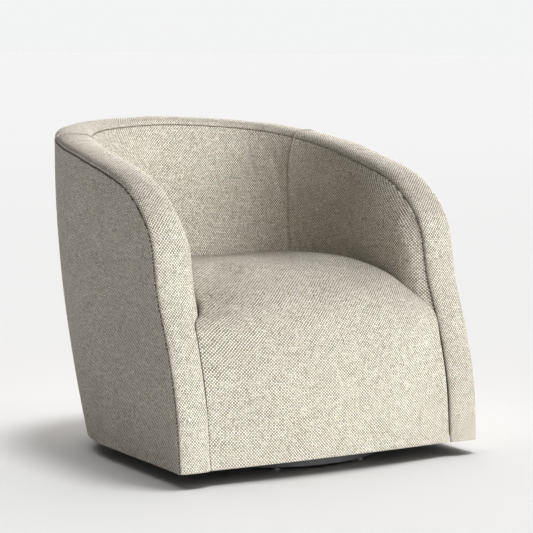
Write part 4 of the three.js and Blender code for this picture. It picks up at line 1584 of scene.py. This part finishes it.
    def back(self, u: float, v: float) -> Vector:
        """Hidden face on the deck and behind the front.

        Args:
            u: Share across the seat.
            v: Share from the foot over the crown to the back.

        Returns:
            The place.
        """
        top = self.loft(u, v)
        if v <= self.apron_end:
            height = mix(self.foot, self.underside, v / self.apron_end)
            return Vector((top.x, self.apron_inner(height), height))
        start, end = self.loft(u, self.apron_end).y, self.loft(u, 1).y
        share = (top.y - start) / (end - start)
        deep = Vector((top.x, mix(self.apron_inner(self.underside), end, share), self.underside))
        turn, depth = self.wall.locate(deep)
        over = self.shape.depth(turn, self.pad_foot) + self.pad_gap - depth
        return deep - self.wall.at(turn, deep.z)[1] * max(over, 0)

    def apron_inner(self, height: float) -> float:
        """Y of the front's hidden face at a height."""
        return self.wall.edge_point(self.wall.share_at_height(height), 0, 0).y + self.apron_thickness

    def chart(self, u: float, v: float) -> tuple[float, float]:
        """Cloth place, across the seat and along its middle line."""
        return self.loft(u, v).x, self.run(v)

    def held(self, u: float, v: float) -> float:
        """How firmly the cover is held, 1 at its borders and 0 inside.

        Args:
            u: Share across the seat.
            v: Share from the foot over the crown to the back.

        Returns:
            The share that is held.
        """
        run, full = self.run(v), float(self.runs[-1])
        inner = min(min(u, 1 - u) * self.breadth, run, full - run - self.tucked_run)
        return 1 - smooth(inner / self.sewn_run)


@dataclass
class Swelling:
    """Pressure that fills the stuffed covers, by cloth simulation."""

    pressure: float = 4.0
    frames: int = 20
    cap: float = 6 * MM
    quality: int = 5
    weight: float = 0.35
    held_name: str = "held"
    pieces: list[bpy.types.Object] = field(default_factory=list)

    def prepare(self, piece: bpy.types.Object, shares: Sequence[float]) -> None:
        """Adds the cloth and holds the cover where it is sewn down.

        Args:
            piece: The cover's object.
            shares: How firmly each vertex is held, from 0 to 1.
        """
        group = piece.vertex_groups.new(name=self.held_name)
        for index, share in enumerate(shares):
            if share > 0:
                group.add([index], share, "REPLACE")
        cloth = piece.modifiers.new("cloth", "CLOTH")
        cloth.settings.quality = self.quality
        cloth.settings.mass = self.weight
        cloth.settings.vertex_group_mass = self.held_name
        cloth.settings.use_pressure = True
        cloth.settings.uniform_pressure_force = self.pressure
        cloth.settings.effector_weights.gravity = 0
        cloth.collision_settings.use_collision = False
        cloth.collision_settings.use_self_collision = False
        self.pieces.append(piece)

    def run(self) -> None:
        """Steps the simulation, limits its movement and writes it to the meshes."""
        scene = bpy.context.scene
        for number in range(1, self.frames + 1):
            scene.frame_set(number)
        depsgraph = bpy.context.evaluated_depsgraph_get()
        results = []
        for piece in self.pieces:
            shape = piece.evaluated_get(depsgraph).to_mesh()
            places = np.empty(len(shape.vertices) * 3)
            shape.vertices.foreach_get("co", places)
            results.append(places.reshape(-1, 3))
        for piece, places in zip(self.pieces, results):
            start = np.empty(len(piece.data.vertices) * 3)
            piece.data.vertices.foreach_get("co", start)
            start = start.reshape(-1, 3)
            move = places - start
            length = np.linalg.norm(move, axis=1, keepdims=True)
            limited = self.cap * np.tanh(length / self.cap)
            move *= np.divide(limited, length, out=np.zeros_like(length), where=length > 0)
            piece.data.vertices.foreach_set("co", (start + move).ravel())
            piece.modifiers.remove(piece.modifiers["cloth"])
            piece.vertex_groups.clear()
            piece.data.update()
            LOG.info("%s swelled by up to %.1f mm", piece.name, float(limited.max()) / MM)
        scene.frame_set(1)


@dataclass
class SeamWelt:
    """Thin ridge of the seam between the back and a side, over the roll and down the pad."""

    wall: Wall
    shape: PadShape
    side: Side
    radius: float = 1.8 * MM
    sides: int = 8
    cloth_share: float = 2.5
    step: float = 4 * MM
    foot: float = 400 * MM
    round_segments: int = 24

    def line(self) -> list[Vector]:
        """Points of the ridge from the outer seam over the roll to the seat.

        Returns:
            The points in order.
        """
        wall, turn = self.wall, self.wall.seam_turn_share
        share = wall.share_at_turn(turn)
        width, rise = wall.band_sizes(share)
        points = []
        for angle in np.linspace(0, math.pi, self.round_segments + 1):
            lift = max(math.sin(angle), 0) ** wall.band_round_share
            points.append(wall.edge_point(share, -width * (1 - math.cos(angle)) / 2, rise * lift))
        top = wall.edge(share)[1] - wall.step
        for height in np.arange(top - self.step, self.foot, -self.step):
            points.append(wall.under(turn, float(height), self.shape.depth(turn, float(height))))
        return [Vector((point.x * self.side.value, point.y, point.z)) for point in points]

    def build(self, finishes: Finishes) -> bpy.types.Object:
        """Builds and dresses the ridge.

        Args:
            finishes: The shared materials.

        Returns:
            The piece.
        """
        mesh = swept(self.line(), self.radius, self.sides, self.cloth_share)
        piece = finished(f"seam_welt_{self.side.label}", mesh)
        piece.data.materials.append(finishes.tweed)
        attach(piece, CHAIR_BODY)
        LOG.info("%s: %d faces", piece.name, len(piece.data.polygons))
        return piece


@dataclass
class Upholstery:
    """All the covered pieces of the chair."""

    wall: Wall
    finishes: Finishes

    def parts(self, shape: PadShape) -> list[SoftPiece]:
        """Plans the covered pieces.

        Args:
            shape: Depths of the inside pads.

        Returns:
            The pieces, not yet built.
        """
        patch = WallPatch(self.wall, self.wall.lift, 0, SoftPiece.seam_gap)
        seam, half_gap = self.wall.seam_turn_share, patch.start_turn()
        rear_end = self.wall.share_at_turn(seam - half_gap)
        side_start = self.wall.share_at_turn(seam + half_gap)
        parts: list[SoftPiece] = [
            EdgeRoll(self.wall, "edge_roll_back", "band_back", start=-rear_end, end=rear_end),
            OutsidePanel(self.wall, "outside_cover_back", "outside_back"),
            InsidePad(self.wall, "inside_cover_back", "inside_back", shape=shape),
        ]
        for side in Side:
            parts += [
                EdgeRoll(self.wall, f"edge_roll_{side.label}", f"band_{side.label}",
                         start=side_start, end=1.0, side=side),
                OutsidePanel(self.wall, f"outside_cover_{side.label}", f"outside_{side.label}", side=side),
                InsidePad(self.wall, f"inside_cover_{side.label}", f"inside_{side.label}", side=side,
                          shape=shape),
            ]
        parts.append(SeatCover(self.wall, "seat_cover", "seat", shape=shape))
        return parts

    def build(self) -> list[bpy.types.Object]:
        """Builds and dresses every covered piece.

        Returns:
            The pieces.
        """
        shape = PadShape(self.wall)
        parts = self.parts(shape)
        swelling = Swelling()
        pieces = []
        for part in parts:
            piece = part.build()
            pieces.append(piece)
            if part.stuffed:
                swelling.prepare(piece, self.holding(part))
        if swelling.pieces:
            swelling.run()
        for part, piece in zip(parts, pieces):
            part.dress(piece, self.finishes)
        pieces += [SeamWelt(self.wall, shape, side).build(self.finishes) for side in Side]
        return pieces

    def holding(self, part: SoftPiece) -> list[float]:
        """How firmly each vertex of a part's mesh is held, hidden face and all.

        Args:
            part: The part, whose grid gives the order of its vertices.

        Returns:
            A share for each vertex.
        """
        columns, rows = part.columns(), part.rows()
        back = [1.0] * (len(columns) * len(rows))
        face = [part.held(u, v) for v in rows for u in columns]
        return back + face


@dataclass
class SwivelBase:
    """The ring base, the bearing and the hidden frame, which keep their own solids."""

    finishes: Finishes

    def dress(self, nodes: dict[str, bpy.types.Object]) -> None:
        """Gives every shown solid its finish.

        Args:
            nodes: The frame's objects by name.
        """
        plan = {
            "base_": self.finishes.paint, "glide_": self.finishes.plastic, "bearing_": self.finishes.zinc,
            "swivel_": self.finishes.zinc, "seat_spring_": self.finishes.spring,
            "dust_cover": self.finishes.cambric, "deck_pad": self.finishes.fibre,
            "base_board": self.finishes.timber,
        }
        for name, node in nodes.items():
            keys = [key for key in plan if name.startswith(key)]
            material = plan[max(keys, key=len)] if keys else self.finishes.timber
            if node.material_slots:
                for slot in node.material_slots:
                    slot.material = material
            else:
                node.data.materials.append(material)
        LOG.info("%d frame parts dressed", len(nodes))


@dataclass
class DustClothStaples:
    """Staples that hold the dust cloth to the board."""

    wall: Wall
    finishes: Finishes
    pitch: float = 38 * MM
    crown: float = 11 * MM
    wire: float = 0.9 * MM
    inset: float = 22 * MM
    wall_gap: float = 8 * MM
    corner_gap: float = 20 * MM
    front_gap: float = 12 * MM
    air: float = 0.05 * MM
    end_turn: float = 1.55

    def build(self) -> bpy.types.Object:
        """Builds the row of staples round the cloth's edge.

        Returns:
            The staples as one piece.
        """
        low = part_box("dust_cover")[0]
        mesh = bmesh.new()
        level = low[2] - self.wire / 2 - self.air
        for point, heading in self.places(low[1]):
            verts = bmesh.ops.create_cube(mesh, size=1)["verts"]
            bmesh.ops.scale(mesh, vec=(self.crown, self.wire, self.wire), verts=verts)
            bmesh.ops.rotate(mesh, matrix=Matrix.Rotation(heading, 3, "Z"), verts=verts)
            bmesh.ops.translate(mesh, vec=(point.x, point.y, level), verts=verts)
        piece = finished("dust_cloth_staples", mesh)
        piece.data.materials.append(self.finishes.zinc)
        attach(piece, CHAIR_BODY)
        LOG.info("%s: %d faces", piece.name, len(piece.data.polygons))
        return piece

    def places(self, front: float) -> list[tuple[Vector, float]]:
        """Places and headings of the staples.

        Args:
            front: Y of the cloth's front edge.

        Returns:
            Points and turns about Z.
        """
        height = self.wall.lift
        places = []
        total = self.wall.run(self.end_turn)
        count = int(total / self.pitch)
        for side in Side:
            for k in range(count + 1):
                turn = float(np.interp(total * k / count, self.wall.plan_runs, self.wall.plan_turns))
                point, out = self.wall.at(turn, height)
                point = point - out * (self.inset + self.wall_gap)
                if point.y < front + self.inset or (side is Side.LEFT and k == 0):
                    continue
                heading = math.atan2(out.x, -out.y) * side.value
                places.append((Vector((point.x * side.value, point.y, 0)), heading))
        half = self.wall.plan(height)[0] - self.inset - self.corner_gap
        across = int(2 * half / self.pitch)
        for k in range(across + 1):
            places.append((Vector((mix(-half, half, k / across), front + self.front_gap, 0)), 0.0))
        return places


class Reach(Enum):
    """What a lamp lights, as the state of the floor in its light linking."""

    FLOOR_ALONE = "INCLUDE"
    ALL_BUT_FLOOR = "EXCLUDE"


@dataclass(frozen=True)
class Lamp:
    """One distant soft lamp, with the direction to it and its apparent size in degrees."""

    name: str
    towards: tuple[float, float, float]
    strength: float
    softness: float
    reach: Reach
    tint: tuple[float, float, float] = PLAIN_TINT

    def build(self, floor: bpy.types.Object) -> None:
        """Adds the lamp and limits what it lights.

        Args:
            floor: The floor, which the lamp lights alone or not at all.
        """
        data = bpy.data.lights.new(self.name, "SUN")
        data.energy = self.strength
        data.color = self.tint
        data.angle = math.radians(self.softness)
        lamp = bpy.data.objects.new(self.name, data)
        lamp.rotation_euler = Vector(self.towards).to_track_quat("Z", "Y").to_euler()
        bpy.context.scene.collection.objects.link(lamp)
        group = bpy.data.collections.new(f"{self.name}_reach")
        group.objects.link(floor)
        group.collection_objects[0].light_linking.link_state = self.reach.value
        lamp.light_linking.receiver_collection = group


@dataclass
class Studio:
    """Pale floor, plain light and the photograph's camera."""

    position: tuple[float, float, float] = (-2.26291, -3.76226, 0.88269)
    heading: float = math.radians(-31.906)
    tilt: float = math.radians(6.3616)
    roll: float = math.radians(0.563)
    focal_share: float = 1946.50 / 533
    sensor: float = 36.0
    view_reach: float = 1000.0
    floor_size: float = 400.0
    floor_roughness: float = 0.8
    floor_shine: float = 0.1
    near_floor: tuple[float, float, float] = (0.69, 0.7, 0.71)
    far_floor: tuple[float, float, float] = (0.71, 0.722, 0.735)
    blend_run: float = 14.0
    backdrop_colour: tuple[float, float, float] = (0.895, 0.9, 0.9)
    ambient: float = 0.125
    lamps: tuple[Lamp, ...] = (
        Lamp("top_light", (0.58, 0.78, 0.40), 5.5, 30.0, Reach.ALL_BUT_FLOOR, WARM_TINT),
        Lamp("key_light", (0.40, -0.91, 0.08), 6.6, 65.0, Reach.ALL_BUT_FLOOR),
        Lamp("floor_fill", (0.25, 0.4, 1.0), 2.0, 85.0, Reach.FLOOR_ALONE, WARM_TINT),
        Lamp("floor_light", (0.2, 0.05, 1.0), 1.7, 14.0, Reach.FLOOR_ALONE),
    )

    def build(self) -> None:
        """Adds the camera, the floor and the lights."""
        self.camera()
        floor = self.floor()
        self.world()
        for lamp in self.lamps:
            lamp.build(floor)
        LOG.info("camera, floor and %d lamps placed", len(self.lamps))

    def camera(self) -> None:
        """Adds the camera with the photograph's view."""
        level = math.cos(self.tilt)
        forward = Vector((
            -math.sin(self.heading) * level, math.cos(self.heading) * level, -math.sin(self.tilt)))
        right = Vector((math.cos(self.heading), math.sin(self.heading), 0))
        up = right.cross(forward)
        turned_right = right * math.cos(self.roll) + up * math.sin(self.roll)
        turned_up = up * math.cos(self.roll) - right * math.sin(self.roll)
        data = bpy.data.cameras.new("camera")
        data.sensor_width = self.sensor
        data.lens = self.sensor * self.focal_share
        data.clip_end = self.view_reach
        camera = bpy.data.objects.new("camera", data)
        rotation = Matrix((turned_right, turned_up, -forward)).transposed().to_4x4()
        camera.matrix_world = Matrix.Translation(self.position) @ rotation
        bpy.context.scene.collection.objects.link(camera)
        bpy.context.scene.camera = camera

    def floor(self) -> bpy.types.Object:
        """Adds the floor.

        Returns:
            The floor.
        """
        mesh = bmesh.new()
        bmesh.ops.create_grid(mesh, x_segments=1, y_segments=1, size=self.floor_size)
        floor = finished("floor", mesh)
        graph = Graph("pale_floor")
        away = graph.node("VectorMath", {0: graph.places()}, operation="LENGTH").outputs["Value"]
        share = graph.math("DIVIDE", away, self.blend_run)
        graph.shade(Base_Color=graph.ramp(share, ((0.0, self.near_floor), (1.0, self.far_floor))),
                    Roughness=self.floor_roughness, Specular_IOR_Level=self.floor_shine)
        floor.data.materials.append(graph.material)
        return floor

    def world(self) -> None:
        """Lights the scene evenly and shows a pale backdrop behind it."""
        world = bpy.data.worlds.new("studio")
        world.use_nodes = True
        bpy.context.scene.world = world
        tree = Tree(world.node_tree)
        light = tree.node("Background", {"Color": WARM_TINT, "Strength": self.ambient}).outputs[0]
        shown = tree.node("Background", {"Color": self.backdrop_colour}).outputs[0]
        rays = tree.node("LightPath").outputs
        seen = tree.math("MAXIMUM", rays["Is Camera Ray"], rays["Is Glossy Ray"])
        seen = tree.math("MAXIMUM", seen, rays["Is Transmission Ray"])
        blend = tree.node("MixShader", {0: seen, 1: light, 2: shown}).outputs[0]
        tree.node("OutputWorld", {"Surface": blend})


def main() -> None:
    """Builds the camera and light, the covers and the finishes, with the wall's sizes taken from the
    frame's bounds.
    """
    logging.basicConfig(level=logging.INFO, format="%(name)s: %(message)s")
    bpy.context.scene.view_settings.view_transform = "Standard"
    Studio().build()
    low, high = (Vector(corner) for corner in CAD_BOX)
    wall = Wall(width=high.x - low.x, depth=high.y - low.y, height=high.z)
    finishes = Finishes()
    SwivelBase(finishes).dress(frame["nodes"])
    Upholstery(wall, finishes).build()
    DustClothStaples(wall, finishes).build()


if __name__ == "__main__":
    main()
